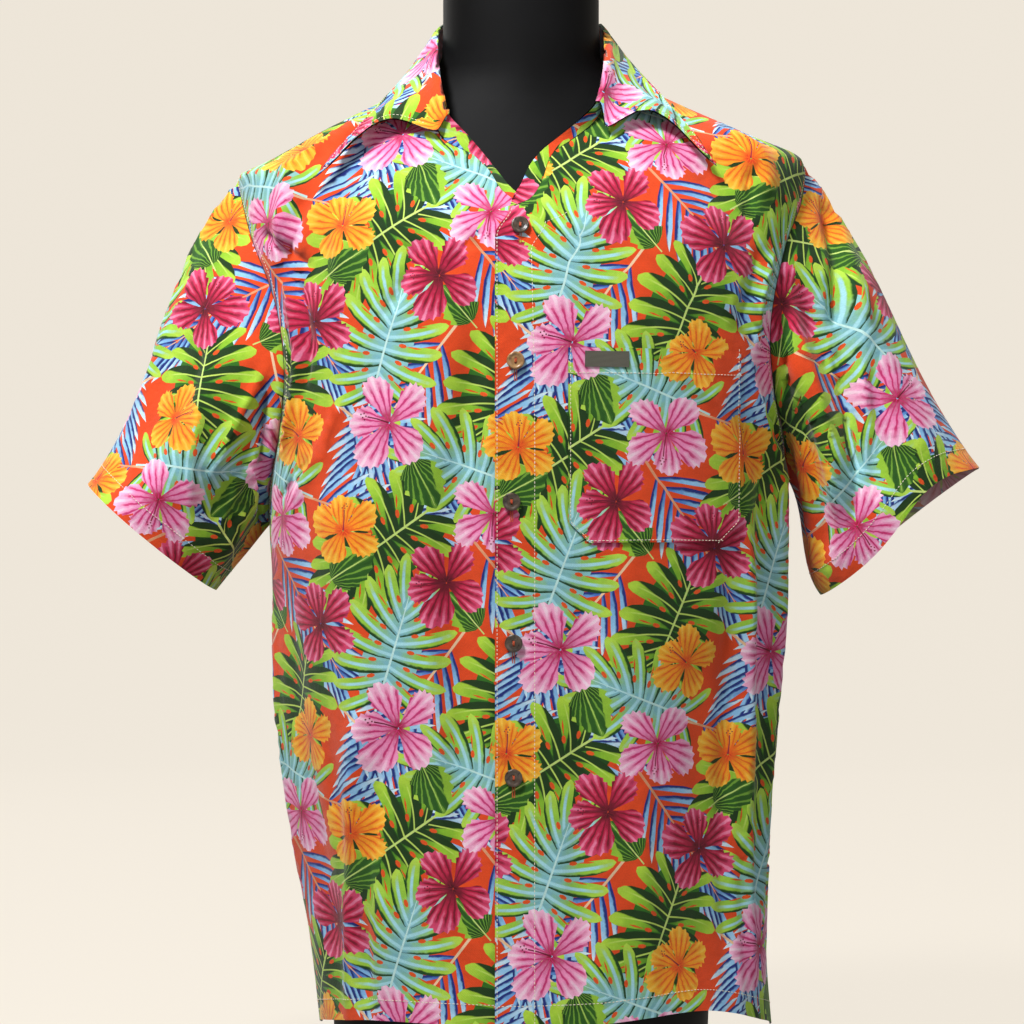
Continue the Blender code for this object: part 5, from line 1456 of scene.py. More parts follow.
@dataclass
class Shell:
    """A closed thin shell built on the face side of a piece.

    The thickness is mm, and the finishes are its material slots: one for each ink where it
    is printed, and then it has the shapes of the print too.
    """
    name: str
    face: ClothFace
    thickness: float
    finishes: Sequence[bpy.types.Material]
    shapes: Sequence[Shape] = ()

    def wound(self) -> np.ndarray:
        """The face side's triangles, wound so that they point outwards."""
        face = self.face
        a, b, c = (face.points[face.faces[:, k]] for k in range(3))
        up = np.einsum("ij,ij->i", np.cross(b - a, c - a), face.normals[face.faces[:, 0]])
        return face.faces if up.sum() > 0 else face.faces[:, ::-1]

    def rim(self, faces: np.ndarray) -> tuple[np.ndarray, np.ndarray]:
        """Quads that close the edges, and the triangle that each one borders."""
        count = len(self.face.points)
        ends = np.concatenate([faces[:, [0, 1]], faces[:, [1, 2]], faces[:, [2, 0]]])
        source = np.tile(np.arange(len(faces)), 3)
        low, high = ends.min(axis=1), ends.max(axis=1)
        _, index, number = np.unique(low * count + high, return_index=True, return_counts=True)
        lone = index[number == 1]
        a, b = ends[lone, 0], ends[lone, 1]
        return np.stack([b, a, a + count, b + count], axis=1), source[lone]

    def motif_frame(self, corners: np.ndarray, triangles: np.ndarray) -> np.ndarray:
        """Corners' places in the frames of their printed shapes."""
        if not len(self.shapes):
            return np.zeros((len(corners), 2))
        owner = self.face.owner[triangles]
        _, _, *frames = zip(*self.shapes)
        origin, turn, reach, hand = (np.array(part)[owner] for part in frames)
        off = self.face.flat[corners] - self.face.tile[triangles] - origin
        c, s = np.cos(turn), np.sin(turn)
        return np.stack([(off[:, 0] * c + off[:, 1] * s) / reach,
                         hand * (off[:, 1] * c - off[:, 0] * s) / reach], axis=1)

    def build(self) -> bpy.types.Object:
        """Make the shell's object, with its finishes and the maps that they read."""
        face, count = self.face, len(self.face.points)
        front = self.wound()
        rim, beside = self.rim(front)
        back = front[:, ::-1] + count
        points = np.concatenate([face.points, face.points - face.normals * self.thickness]) * MM
        mesh = new_mesh(self.name, points.tolist(), front.tolist() + back.tolist() + rim.tolist())
        triangle = np.arange(len(front))
        corner = np.concatenate([front.ravel(), front[:, ::-1].ravel(), (rim % count).ravel()])
        whose = np.concatenate([np.repeat(triangle, 3), np.repeat(triangle, 3), np.repeat(beside, 4)])
        for name, places in (("motif", self.motif_frame(corner, whose)), ("cloth", face.flat[corner])):
            mesh.uv_layers.new(name=name).data.foreach_set("uv", places.astype(np.float32).ravel())
        wrong = mesh.attributes.new("wrong_side", "FLOAT", "POINT")
        wrong.data.foreach_set("value", np.repeat([0.0, 1.0], count).astype(np.float32))
        for finish in self.finishes:
            mesh.materials.append(finish)
        if len(self.shapes):
            slots = np.array([list(Ink).index(shape.ink) for shape in self.shapes])[face.owner]
            mesh.polygons.foreach_set("material_index",
                                      np.concatenate([slots, slots, slots[beside]]).astype(np.int32))
        self.shade(mesh, front, rim)
        return put(self.name, mesh)

    def shade(self, mesh: bpy.types.Mesh, front: np.ndarray, rim: np.ndarray) -> None:
        """Shade the cloth by the fine grid's own normals, with a crisp cut edge."""
        normals = self.face.normals
        ends = self.face.points[rim[:, 0]] - self.face.points[rim[:, 1]]
        out = unit(np.cross(normals[rim[:, 0]], ends))
        corner = np.concatenate([normals[front.ravel()], -normals[front[:, ::-1].ravel()],
                                 np.repeat(out, 4, axis=0)])
        mesh.polygons.foreach_set("use_smooth", np.ones(len(mesh.polygons), bool))
        mesh.update()
        mesh.normals_split_custom_set(corner.tolist())


# ---------------------------------------------------------------- materials

def linear(colour: str) -> tuple[float, float, float, float]:
    """A six-digit sRGB hex colour as linear red, green, blue and alpha."""
    parts = [int(colour[k:k + 2], 16) / 255 for k in (0, 2, 4)]
    return (*(c / 12.92 if c <= 0.04045 else ((c + 0.055) / 1.055) ** 2.4 for c in parts), 1.0)


def add(tree: bpy.types.NodeTree, kind: str, feeds: dict[int | str, object] | None = None,
        **settings: object) -> bpy.types.Node:
    """Add a node.

    Args:
        tree: the tree it goes into.
        kind: its type, with ShaderNode left off a shader's.
        feeds: by input, a plain value, a socket to link, or a node for its first socket.
        **settings: the node's own settings.

    Returns:
        The node.
    """
    node = tree.nodes.new(kind if "Node" in kind else "ShaderNode" + kind)
    for name, value in settings.items():
        setattr(node, name, value)
    for name, value in (feeds or {}).items():
        value = value.outputs[0] if isinstance(value, bpy.types.Node) else value
        if isinstance(value, bpy.types.NodeSocket):
            tree.links.new(value, node.inputs[name])
        else:
            node.inputs[name].default_value = value
    return node


def new_material(name: str) -> tuple[bpy.types.Material, bpy.types.NodeTree]:
    """An empty node material."""
    material = bpy.data.materials.new(name)
    material.use_nodes = True
    material.node_tree.nodes.clear()
    return material, material.node_tree


@dataclass(frozen=True)
class CottonLawn:
    """Plain-woven cotton lawn, washed and pressed: matt, with a faint fuzz at the edges.

    The threads are 0.25 mm apart, too fine to show, so they are drawn 1.3 mm apart.
    """
    thread: float = 1.3
    roughness: float = 0.82
    ior: float = 1.5
    slub: float = 0.10
    wrong_side: float = 0.42

    def finish(self, tree: bpy.types.NodeTree, colour: bpy.types.NodeSocket) -> None:
        """Give a colour the cloth's mottle, paler wrong side, weave and sheen."""
        cloth = add(tree, "UVMap", uv_map="cloth")
        cloudy = add(tree, "TexNoise", {"Vector": cloth, "Scale": 0.06, "Detail": 3.0})
        fine = add(tree, "TexNoise", {"Vector": cloth, "Scale": 0.9, "Detail": 2.0})
        tone = add(tree, "Math", {0: cloudy, 1: fine}, operation="ADD")
        level = add(tree, "MapRange", {"Value": tone, "From Min": 0.7, "From Max": 1.3,
                                       "To Min": 1.0 - self.slub, "To Max": 1.0 + self.slub})
        mottled = add(tree, "VectorMath", {0: colour, 3: level}, operation="SCALE")
        side = add(tree, "Attribute", attribute_name="wrong_side").outputs["Fac"]
        share = add(tree, "Math", {0: side, 1: self.wrong_side}, operation="MULTIPLY")
        shown = add(tree, "Mix", {0: share, 6: mottled, 7: linear("e8d9c8")}, data_type="RGBA").outputs[2]
        weave = add(tree, "VectorMath", {0: cloth, 3: 2 * math.pi / self.thread}, operation="SCALE")
        ways = add(tree, "SeparateXYZ", {0: weave})
        warp = add(tree, "Math", {0: ways}, operation="SINE")
        weft = add(tree, "Math", {0: ways.outputs[1]}, operation="SINE")
        over = add(tree, "Math", {0: warp, 1: weft}, operation="MULTIPLY")
        crumple = add(tree, "TexNoise", {"Vector": cloth, "Scale": 0.11, "Detail": 3.0})
        raised = add(tree, "Math", {0: crumple, 1: 10.0, 2: over}, operation="MULTIPLY_ADD")
        bump = add(tree, "Bump", {"Height": raised, "Distance": 0.00011, "Strength": 0.8})
        shader = add(tree, "BsdfPrincipled", {
            "Base Color": shown, "Roughness": self.roughness, "IOR": self.ior, "Normal": bump,
            "Sheen Weight": 0.18, "Sheen Roughness": 0.5, "Specular IOR Level": 0.25})
        add(tree, "OutputMaterial", {0: shader})


@dataclass(frozen=True)
class PrintedInk:
    """Reactive dye screen-printed on the lawn, run by hand from root to tip of each shape.

    Colours are hex, and places are shares of the shape's reach.  The shaded side starts at
    the wedge's first place at the root and at its second at the tip.
    """
    body: str
    tip: str
    root: str
    root_to: float = 0.5
    shade: str = ""
    wedge: tuple[float, float] = (0.0, 0.0)
    midline: str = ""
    midline_width: float = 0.012
    vein: str = ""
    veins: float = 0.0
    vein_to: float = 0.8
    gleam: str = ""
    bend: float = 0.0

    def build(self, name: str) -> bpy.types.Material:
        """Make the ink's material."""
        material, tree = new_material(name)
        motif = add(tree, "UVMap", uv_map="motif")
        cloth = add(tree, "UVMap", uv_map="cloth")
        brush = add(tree, "TexNoise", {"Vector": cloth, "Scale": 0.16, "Detail": 2.0})
        shift = add(tree, "Math", {0: brush, 1: -0.5}, operation="ADD")
        ways = add(tree, "SeparateXYZ", {0: motif})
        along = add(tree, "Math", {0: shift, 1: 0.4, 2: ways}, operation="MULTIPLY_ADD")
        bow = add(tree, "Math", {0: ways, 1: 2.0}, operation="POWER")
        line = add(tree, "Math", {0: bow, 1: -self.bend, 2: ways.outputs[1]}, operation="MULTIPLY_ADD")
        beside = add(tree, "Math", {0: shift, 1: 0.07, 2: line}, operation="MULTIPLY_ADD")
        layers = [(self.tip, (along, 0.5, 1.05)), (self.root, (along, self.root_to, 0.0))]
        if self.veins:
            wide = add(tree, "Math", {0: ways, 1: 0.25}, operation="ADD")
            slope = add(tree, "Math", {0: beside, 1: wide}, operation="DIVIDE")
            turn = add(tree, "Math", {0: slope, 1: 2 * math.pi * self.veins}, operation="MULTIPLY")
            wave = add(tree, "Math", {0: turn}, operation="COSINE")
            layers += [(self.gleam, (wave, -0.25, -0.95), (along, 0.3, 1.1)),
                       (self.vein, (wave, 0.25, 0.95), (along, self.vein_to, self.vein_to - 0.35))]
        if self.shade:
            start, end = self.wedge
            edge = add(tree, "Math", {0: along, 1: start - end, 2: beside}, operation="MULTIPLY_ADD")
            layers.append((self.shade, (edge, start, start + 0.03)))
        if self.midline:
            off = add(tree, "Math", {0: line}, operation="ABSOLUTE")
            layers.append((self.midline, (off, self.midline_width * 1.5, self.midline_width * 0.6),
                           (along, 0.95, 0.6)))
        colour: object = linear(self.body)
        for dye, *ramps in layers:
            share: object = 1.0
            for value, low, high in ramps:
                step = add(tree, "MapRange", {0: value, 1: low, 2: high}, interpolation_type="SMOOTHSTEP")
                share = add(tree, "Math", {0: step, 1: share}, operation="MULTIPLY")
            colour = add(tree, "Mix", {0: share, 6: colour, 7: linear(dye)}, data_type="RGBA").outputs[2]
        CottonLawn().finish(tree, colour)
        return material


INKS = {
    Ink.GROUND: PrintedInk("e2460e", "e2460e", "e2460e"),
    Ink.FROND_BLADE: PrintedInk("8fc6ee", "dceef4", "3c70c4", 0.5, shade="16297a", wedge=(-0.022, 0.012),
                                bend=-0.12),
    Ink.FROND_RIB: PrintedInk("e9b58a", "efc9a0", "df9a70"),
    Ink.LEAF_BODY: PrintedInk("1f5a0c", "2a6a12", "16440a"),
    Ink.LEAF_LOBE: PrintedInk("8cc02a", "b6da3e", "3c7c14", 0.55, shade="103404", wedge=(-0.13, 0.10),
                              midline="c0dc62", midline_width=0.012, bend=-0.22),
    Ink.LEAF_HOLE: PrintedInk("e2500f", "e2500f", "e2500f"),
    Ink.LEAF_RIB: PrintedInk("b6d468", "c6dc7a", "a6c858"),
    Ink.COOL_BODY: PrintedInk("86c0c4", "90c8c4", "7cb8c4"),
    Ink.COOL_LOBE: PrintedInk("94c83c", "bade4a", "7cb8c4", 0.5, shade="0f3e12", wedge=(0.045, 0.085),
                              midline="a6dce6", midline_width=0.026, bend=-0.22),
    Ink.COOL_RIB: PrintedInk("b4e0e4", "c4e8e4", "a4d4dc"),
    Ink.YOUNG_LEAF: PrintedInk("24560f", "2c6412", "1a420a", 0.3, shade="94c234", wedge=(0.30, 0.10),
                               vein="6fa030", veins=5.0, vein_to=1.25, gleam="1c4c0c"),
    Ink.CRIMSON_PETAL: PrintedInk("c41444", "dc4470", "4c0414", 0.5, vein="7a0624", veins=5.0, vein_to=0.98,
                                  gleam="f692b6"),
    Ink.PINK_PETAL: PrintedInk("f08abc", "f8bad8", "a80c3a", 0.42, vein="cc2c70", veins=5.0, vein_to=0.95,
                               gleam="fcdcea"),
    Ink.ORANGE_PETAL: PrintedInk("f99a14", "fbb62c", "e03c0c", 0.42, vein="ee6410", veins=5.0, vein_to=0.95,
                                 gleam="fdc94a"),
    Ink.PISTIL: PrintedInk("7a1030", "8c1838", "6a0a28"),
}


@dataclass(frozen=True)
class CloudedFinish:
    """A smooth finish that drifts between two tones, as paint, resin and spun thread do.

    Colours are hex and scales are by the metre.
    """
    name: str
    dark: str
    pale: str
    cloud: tuple[float, float]
    drift: tuple[float, float]
    shine: tuple[tuple[str, float], ...]
    distortion: float = 0.0
    wear: tuple[float, float] | None = None
    grain: tuple[float, float, float] | None = None

    def build(self) -> bpy.types.Material:
        """Make the finish's material."""
        material, tree = new_material(self.name)
        place = add(tree, "TexCoord").outputs["Object"]
        cloud = add(tree, "TexNoise", {"Vector": place, "Scale": self.cloud[0], "Detail": self.cloud[1],
                                       "Distortion": self.distortion})
        share = add(tree, "MapRange", {0: cloud, 1: self.drift[0], 2: self.drift[1]})
        tint = add(tree, "Mix", {0: share, 6: linear(self.dark), 7: linear(self.pale)},
                   data_type="RGBA").outputs[2]
        feeds = {"Base Color": tint} | dict(self.shine)
        if self.wear:
            feeds["Roughness"] = add(tree, "MapRange", {0: cloud, 3: self.wear[0], 4: self.wear[1]})
        if self.grain:
            scale, depth, strength = self.grain
            speck = add(tree, "TexNoise", {"Vector": place, "Scale": scale, "Detail": 2.0})
            feeds["Normal"] = add(tree, "Bump", {"Height": speck, "Distance": depth, "Strength": strength})
        add(tree, "OutputMaterial", {0: add(tree, "BsdfPrincipled", feeds)})
        return material


# Moulded glass-fibre torso in matt black paint, which shows only soft broad highlights
BLACK_PAINT = CloudedFinish("matt_black_paint", "040405", "0b0b0d", (14.0, 4.0), (0.35, 0.75),
                            (("Roughness", 0.66), ("IOR", 1.5), ("Specular IOR Level", 0.13)),
                            grain=(900.0, 0.00008, 0.5))
# Cast polyester button blanks, turned and polished, with the cloudy swirl of horn
DARK_RESIN, LIGHT_RESIN = (
    CloudedFinish(*row, (160.0, 3.0), (0.35, 0.7), (("IOR", 1.55),), 1.5, (0.22, 0.38))
    for row in (("dark_horn_resin", "2a211c", "5c4a3c"), ("light_horn_resin", "7c5630", "b48c5c")))
# Spun two-ply polyester thread: matt, with the ply's slight twist
PALE_THREAD, ORANGE_THREAD = (
    CloudedFinish(*row, (1400.0, 1.0), (0.3, 0.6), (("Roughness", 0.7), ("IOR", 1.5), ("Sheen Weight", 0.2)))
    for row in (("pale_thread", "d3cab5", "f4ead2"), ("orange_thread", "c24918", "e0561e")))


@dataclass(frozen=True)
class WovenTab:
    """Close-woven polyester tape in dull grey olive, with its ribs running across."""
    colour: str = "46443a"

    def build(self) -> bpy.types.Material:
        """Make the tape's material."""
        material, tree = new_material("woven_tape")
        cloth = add(tree, "UVMap", uv_map="cloth")
        ways = add(tree, "SeparateXYZ", {0: cloth})
        turn = add(tree, "Math", {0: ways.outputs[1], 1: 2 * math.pi / 0.9}, operation="MULTIPLY")
        ribs = add(tree, "Math", {0: turn}, operation="SINE")
        grain = add(tree, "TexNoise", {"Vector": cloth, "Scale": 1.4, "Detail": 3.0})
        tint = add(tree, "Mix", {0: grain, 6: linear(self.colour), 7: linear("5c5a4c")},
                   data_type="RGBA").outputs[2]
        bump = add(tree, "Bump", {"Height": ribs, "Distance": 0.0001, "Strength": 0.7})
        shader = add(tree, "BsdfPrincipled", {"Base Color": tint, "Roughness": 0.7, "IOR": 1.5,
                                              "Normal": bump, "Sheen Weight": 0.15})
        add(tree, "OutputMaterial", {0: shader})
        return material


# ---------------------------------------------------------------- studio

@dataclass
class Studio:
    """A plain pale sweep, soft lights and the camera."""
    camera_at: tuple[float, float, float] = (-7.2, -2200.0, 468.0)
    lens: float = 96.68
    sensor: float = 36.0
    clip: tuple[float, float] = (0.05, 30.0)
    paper: str = "efe7da"
    glow: float = 0.94
    shade: float = 0.1

    def sweep(self) -> bpy.types.Object:
        """The floor and wall, in one sheet with a wide bend."""
        bend, start, half, top = 900.0, 2700.0, 7000.0, 5000.0
        profile = [(-half, 0.0), (start, 0.0)]
        profile += [(start + bend * math.sin(a), bend - bend * math.cos(a))
                    for a in np.linspace(0.05, math.pi / 2, 24)]
        profile.append((start + bend, top))
        points = [(x * MM, y * MM, z * MM) for y, z in profile for x in (-half, half)]
        faces = [(2 * k, 2 * k + 1, 2 * k + 3, 2 * k + 2) for k in range(len(profile) - 1)]
        mesh = new_mesh("studio_sweep", points, faces)
        mesh.polygons.foreach_set("use_smooth", [True] * len(faces))
        material, tree = new_material("sweep_paper")
        dim = (*(self.shade * c for c in linear(self.paper)[:3]), 1.0)
        shader = add(tree, "BsdfPrincipled", {
            "Base Color": dim, "Roughness": 0.9, "Specular IOR Level": 0.1,
            "Emission Color": linear(self.paper), "Emission Strength": self.glow})
        add(tree, "OutputMaterial", {0: shader})
        mesh.materials.append(material)
        made = put(mesh.name, mesh)
        made.visible_diffuse = False
        return made

    @staticmethod
    def lamp(name: str, place: Sequence[float], aim: Sequence[float], size: float, power: float) -> None:
        """A square soft light, with places in mm and power in watts."""
        light = bpy.data.lights.new(name, "AREA")
        light.size, light.energy = size * MM, power
        made = put(name, light)
        made.location = Vector(place) * MM
        made.rotation_euler = (Vector(aim) - Vector(place)).to_track_quat("-Z", "Y").to_euler()
        made.visible_camera = False

    def build(self) -> None:
        """Set up the studio."""
        self.sweep()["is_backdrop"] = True
        world = bpy.data.worlds.new("studio_air")
        world.use_nodes = True
        path = add(world.node_tree, "LightPath")
        shown = add(world.node_tree, "Mix", {0: path, 6: (0.17, 0.168, 0.163, 1.0), 7: linear(self.paper)},
                    data_type="RGBA").outputs[2]
        world.node_tree.links.new(shown, world.node_tree.nodes["Background"].inputs[0])
        bpy.context.scene.world = world
        bpy.context.scene.view_settings.view_transform = "Standard"
        self.lamp("key_light", (-900, -1150, 2500), (0, 0, 450), 480, 84)
        self.lamp("fill_light", (1500, -2300, 1300), (0, 0, 420), 1500, 13)
        self.lamp("top_light", (500, 300, 3000), (0, 0, 500), 1500, 10)
        self.lamp("back_light", (-1500, 2000, 1900), (0, 0, 450), 1200, 17)
        camera = bpy.data.cameras.new("camera")
        camera.lens, camera.sensor_width = self.lens, self.sensor
        camera.clip_start, camera.clip_end = self.clip
        made = put("camera", camera)
        made.location = Vector(self.camera_at) * MM
        made.rotation_euler = (math.pi / 2, 0.0, 0.0)
        bpy.context.scene.camera = made


# ---------------------------------------------------------------- stitching

class StitchSize(NamedTuple):
    """How one stitch lies on its run, mm: its pitch, and its size along, across and up."""
    pitch: float
    along: float
    across: float
    height: float


TOPSTITCH = StitchSize(pitch=3.0, along=2.2, across=0.7, height=0.5)
BUTTONHOLE = StitchSize(pitch=0.42, along=0.4, across=1.1, height=0.45)


class Run(NamedTuple):
    """A path of stitches: its points, and which way is out of the cloth at each."""
    points: np.ndarray
    out: np.ndarray


class Edge(Enum):
    """An edge of a grid."""
    FIRST_COLUMN = (1, False)
    LAST_COLUMN = (1, True)
    FIRST_ROW = (0, False)
    LAST_ROW = (0, True)


def inset_run(grid: ClothGrid, edge: Edge, inset: float, first: int = 0, last: int | None = None,
              lift: float = 0.1) -> Run:
    """A run that keeps one distance from an edge of a piece.

    Args:
        grid: the piece.
        edge: the edge it follows.
        inset: how far inside the edge, mm.
        first: the first grid line across the edge that it reaches.
        last: the last one.
        lift: how far it lies off the cloth, mm.

    Returns:
        The run.
    """
    across_columns, at_end = edge.value
    points = grid.points if across_columns else grid.points.transpose(1, 0, 2)
    last = len(points) - 1 if last is None else last
    places = []
    for line in range(first, last + 1):
        row = points[line][::-1] if at_end else points[line]
        place = float(np.interp(inset, run_lengths(row), np.arange(len(row))))
        place = len(row) - 1 - place if at_end else place
        places.append((line, place) if across_columns else (place, line))
    places = np.array(places, float)
    normals = unit(grid.read(grid.normals, places))
    return Run(grid.read(grid.points, places) + normals * lift, normals)


class Stitching:
    """Stitches laid along runs by a geometry-node tree."""

    def __init__(self) -> None:
        """Make the tree."""
        self.tree = bpy.data.node_groups.new("stitch_along_runs", "GeometryNodeTree")
        face = self.tree.interface
        face.new_socket("Geometry", in_out="INPUT", socket_type="NodeSocketGeometry")
        inputs = ("Pitch", "Along", "Across", "Height", "Thread")
        self.ids = [face.new_socket(name, in_out="INPUT", socket_type="NodeSocket" + kind).identifier
                    for name, kind in zip(inputs, ["Float"] * 4 + ["Material"])]
        face.new_socket("Geometry", in_out="OUTPUT", socket_type="NodeSocketGeometry")
        tree = self.tree
        given = add(tree, "NodeGroupInput").outputs
        curve = add(tree, "GeometryNodeMeshToCurve", {0: given["Geometry"]})
        spots = add(tree, "GeometryNodeCurveToPoints", {0: curve, "Length": given["Pitch"]}, mode="LENGTH")
        out = add(tree, "GeometryNodeInputNamedAttribute", {"Name": "out"}, data_type="FLOAT_VECTOR")
        turn = add(tree, "FunctionNodeAxesToRotation", {0: out, 1: spots.outputs["Tangent"]},
                   primary_axis="Z", secondary_axis="X")
        bead = add(tree, "GeometryNodeMeshUVSphere", {"Segments": 6, "Rings": 4, "Radius": 0.5})
        size = add(tree, "CombineXYZ", {0: given["Along"], 1: given["Across"], 2: given["Height"]})
        laid = add(tree, "GeometryNodeInstanceOnPoints", {
            "Points": spots.outputs["Points"], "Instance": bead, "Rotation": turn, "Scale": size})
        real = add(tree, "GeometryNodeRealizeInstances", {0: laid})
        soft = add(tree, "GeometryNodeSetShadeSmooth", {0: real})
        done = add(tree, "GeometryNodeSetMaterial", {0: soft, "Material": given["Thread"]})
        add(tree, "NodeGroupOutput", {0: done})

    def sew(self, name: str, runs: Sequence[Run], size: StitchSize, thread: bpy.types.Material) -> None:
        """Lay stitches along runs, in one piece.

        Args:
            name: the piece's name.
            runs: where they lie.
            size: how each one lies.
            thread: what they are sewn with.
        """
        points, outs = (np.concatenate(parts) for parts in zip(*runs))
        ends = np.cumsum([len(run.points) for run in runs])
        edges = [(k - 1, k) for k in range(1, len(points)) if k not in ends]
        mesh = new_mesh(name + "_path", (points * MM).tolist(), [], edges)
        out = mesh.attributes.new("out", "FLOAT_VECTOR", "POINT")
        out.data.foreach_set("vector", outs.astype(np.float32).ravel())
        path = put(mesh.name, mesh)
        growth = path.modifiers.new("stitches", "NODES")
        growth.node_group = self.tree
        for key, value in zip(self.ids, [length * MM for length in size] + [thread]):
            growth[key] = value
        ready = path.evaluated_get(bpy.context.evaluated_depsgraph_get())
        made = put(name, bpy.data.meshes.new_from_object(ready))
        bpy.data.objects.remove(path)
        declare(made)


# ---------------------------------------------------------------- buttons and form

@dataclass
class ShirtButton:
    """A turned two-hole resin button with a raised rim and a dished middle.

    The profile is radii and heights from the middle of its back round to its face.  The slit
    is the buttonhole: half its width, and how far above and below the button it reaches.
    """
    profile: tuple[tuple[float, float], ...] = (
        (0, -1.1), (5.4, -1.1), (6.3, -0.8), (6.75, -0.1), (6.8, 0.4), (6.55, 0.95), (6.0, 1.25), (5.3, 1.2),
        (4.7, 0.85), (4.1, 0.55), (3.4, 0.45), (0, 0.45))
    steps: int = 56
    hole_apart: float = 3.2
    hole: float = 0.95
    hole_steps: int = 20
    drill: float = 3.0
    sharp: float = 38.0
    slit_half: float = 0.75
    slit: tuple[float, float] = (1.5, -15.0)
    slit_steps: int = 12
    slit_lift: float = 0.12
    strand: tuple[float, float] = (0.5, 0.6)
    strand_lift: float = 0.75

    def turned(self) -> bpy.types.Mesh:
        """The button, drilled, lying flat round the origin with its face up, mm."""
        steps, rings = self.steps, len(self.profile) - 2
        (_, bottom), *walls, (_, dish) = self.profile
        points = [(0.0, 0.0, bottom)]
        for r, h in walls:
            points += [(x, y, h) for x, y in self.circle(r, steps)]
        points.append((0.0, 0.0, dish))
        turn = [(k, (k + 1) % steps) for k in range(steps)]
        faces = [(0, 1 + after, 1 + k) for k, after in turn]
        for low in range(1, 1 + (rings - 1) * steps, steps):
            faces += [(low + k, low + after, low + steps + after, low + steps + k) for k, after in turn]
        top = 1 + (rings - 1) * steps
        faces += [(top + k, top + after, len(points) - 1) for k, after in turn]
        blank = put("button_blank", new_mesh("button_blank", points, faces))
        drills, count = [], self.hole_steps
        sides = [(k, (k + 1) % count, count + (k + 1) % count, count + k) for k in range(count)]
        ends = [tuple(range(count))[::-1], tuple(range(count, 2 * count))]
        for sign in (-1, 1):
            points = [(x, y + sign * self.hole_apart / 2, h) for h in (-self.drill, self.drill)
                      for x, y in self.circle(self.hole, count)]
            drill = put("drill", new_mesh("drill", points, sides + ends))
            cut = blank.modifiers.new("hole", "BOOLEAN")
            cut.operation, cut.solver, cut.object = "DIFFERENCE", "EXACT", drill
            drills.append(drill)
        ready = blank.evaluated_get(bpy.context.evaluated_depsgraph_get())
        mesh = bpy.data.meshes.new_from_object(ready)
        for made in drills + [blank]:
            bpy.data.objects.remove(made)
        return mesh

    @staticmethod
    def circle(radius: float, steps: int) -> list[tuple[float, float]]:
        """Points round a circle."""
        return [(radius * math.cos(a), radius * math.sin(a))
                for a in np.linspace(0, 2 * math.pi, steps, endpoint=False)]

    def sew_on(self, front: ClothGrid, finishes: dict[str, bpy.types.Material], stitching: Stitching,
               thread: bpy.types.Material) -> list[Run]:
        """Put the buttons on, and give the runs of their buttonholes.

        Args:
            front: the front they close.
            finishes: each button's resin by node.
            stitching: what sews them on.
            thread: the thread.

        Returns:
            One run down each side of each buttonhole.
        """
        blank = self.turned()
        strands, holes = [], []
        for node, finish in finishes.items():
            low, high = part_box(node)
            middle = np.array((low + high) / 2) / MM
            out = front.under(middle[None, [0, 2]])[1][0]
            up = unit(np.array([0.0, 0.0, 1.0]) - out * out[2])
            side = np.cross(up, out)
            frame = Matrix(((side[0], up[0], out[0], middle[0]), (side[1], up[1], out[1], middle[1]),
                            (side[2], up[2], out[2], middle[2]), (0, 0, 0, 1)))
            mesh = blank.copy()
            mesh.name = node + "_resin"
            mesh.transform(Matrix.Scale(MM, 4) @ frame)
            declare(finished(mesh, finish, self.sharp), node)
            face = middle + out * self.strand_lift
            strand = np.array([face - side * self.strand[0], face + side * self.strand[1]])
            strands.append(Run(strand, np.array([out, out])))
            for x in (-self.slit_half, self.slit_half):
                spots = middle[[0, 2]] + [(x, z) for z in np.linspace(*self.slit, self.slit_steps)]
                places, normals = front.under(spots)
                holes.append(Run(front.read(front.points, places) + normals * self.slit_lift, normals))
        size = StitchSize(pitch=0.5, along=0.5, across=self.hole_apart + 1.2, height=0.7)
        stitching.sew("button_thread", strands, size, thread)
        return holes


@dataclass
class DressForm:
    """The limbless form, as packed but smoothly rounded."""
    sharp: float = 50.0
    weld: float = 1e-5

    def build(self, node: bpy.types.Object) -> None:
        """Make the form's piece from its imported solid."""
        mesh = node.data.copy()
        mesh.name = "dress_form_shell"
        round_off = bmesh.new()
        round_off.from_mesh(mesh)
        bmesh.ops.remove_doubles(round_off, verts=round_off.verts, dist=self.weld)
        round_off.to_mesh(mesh)
        round_off.free()
        declare(finished(mesh, BLACK_PAINT.build(), self.sharp), "dress_form")


# ---------------------------------------------------------------- the shirt

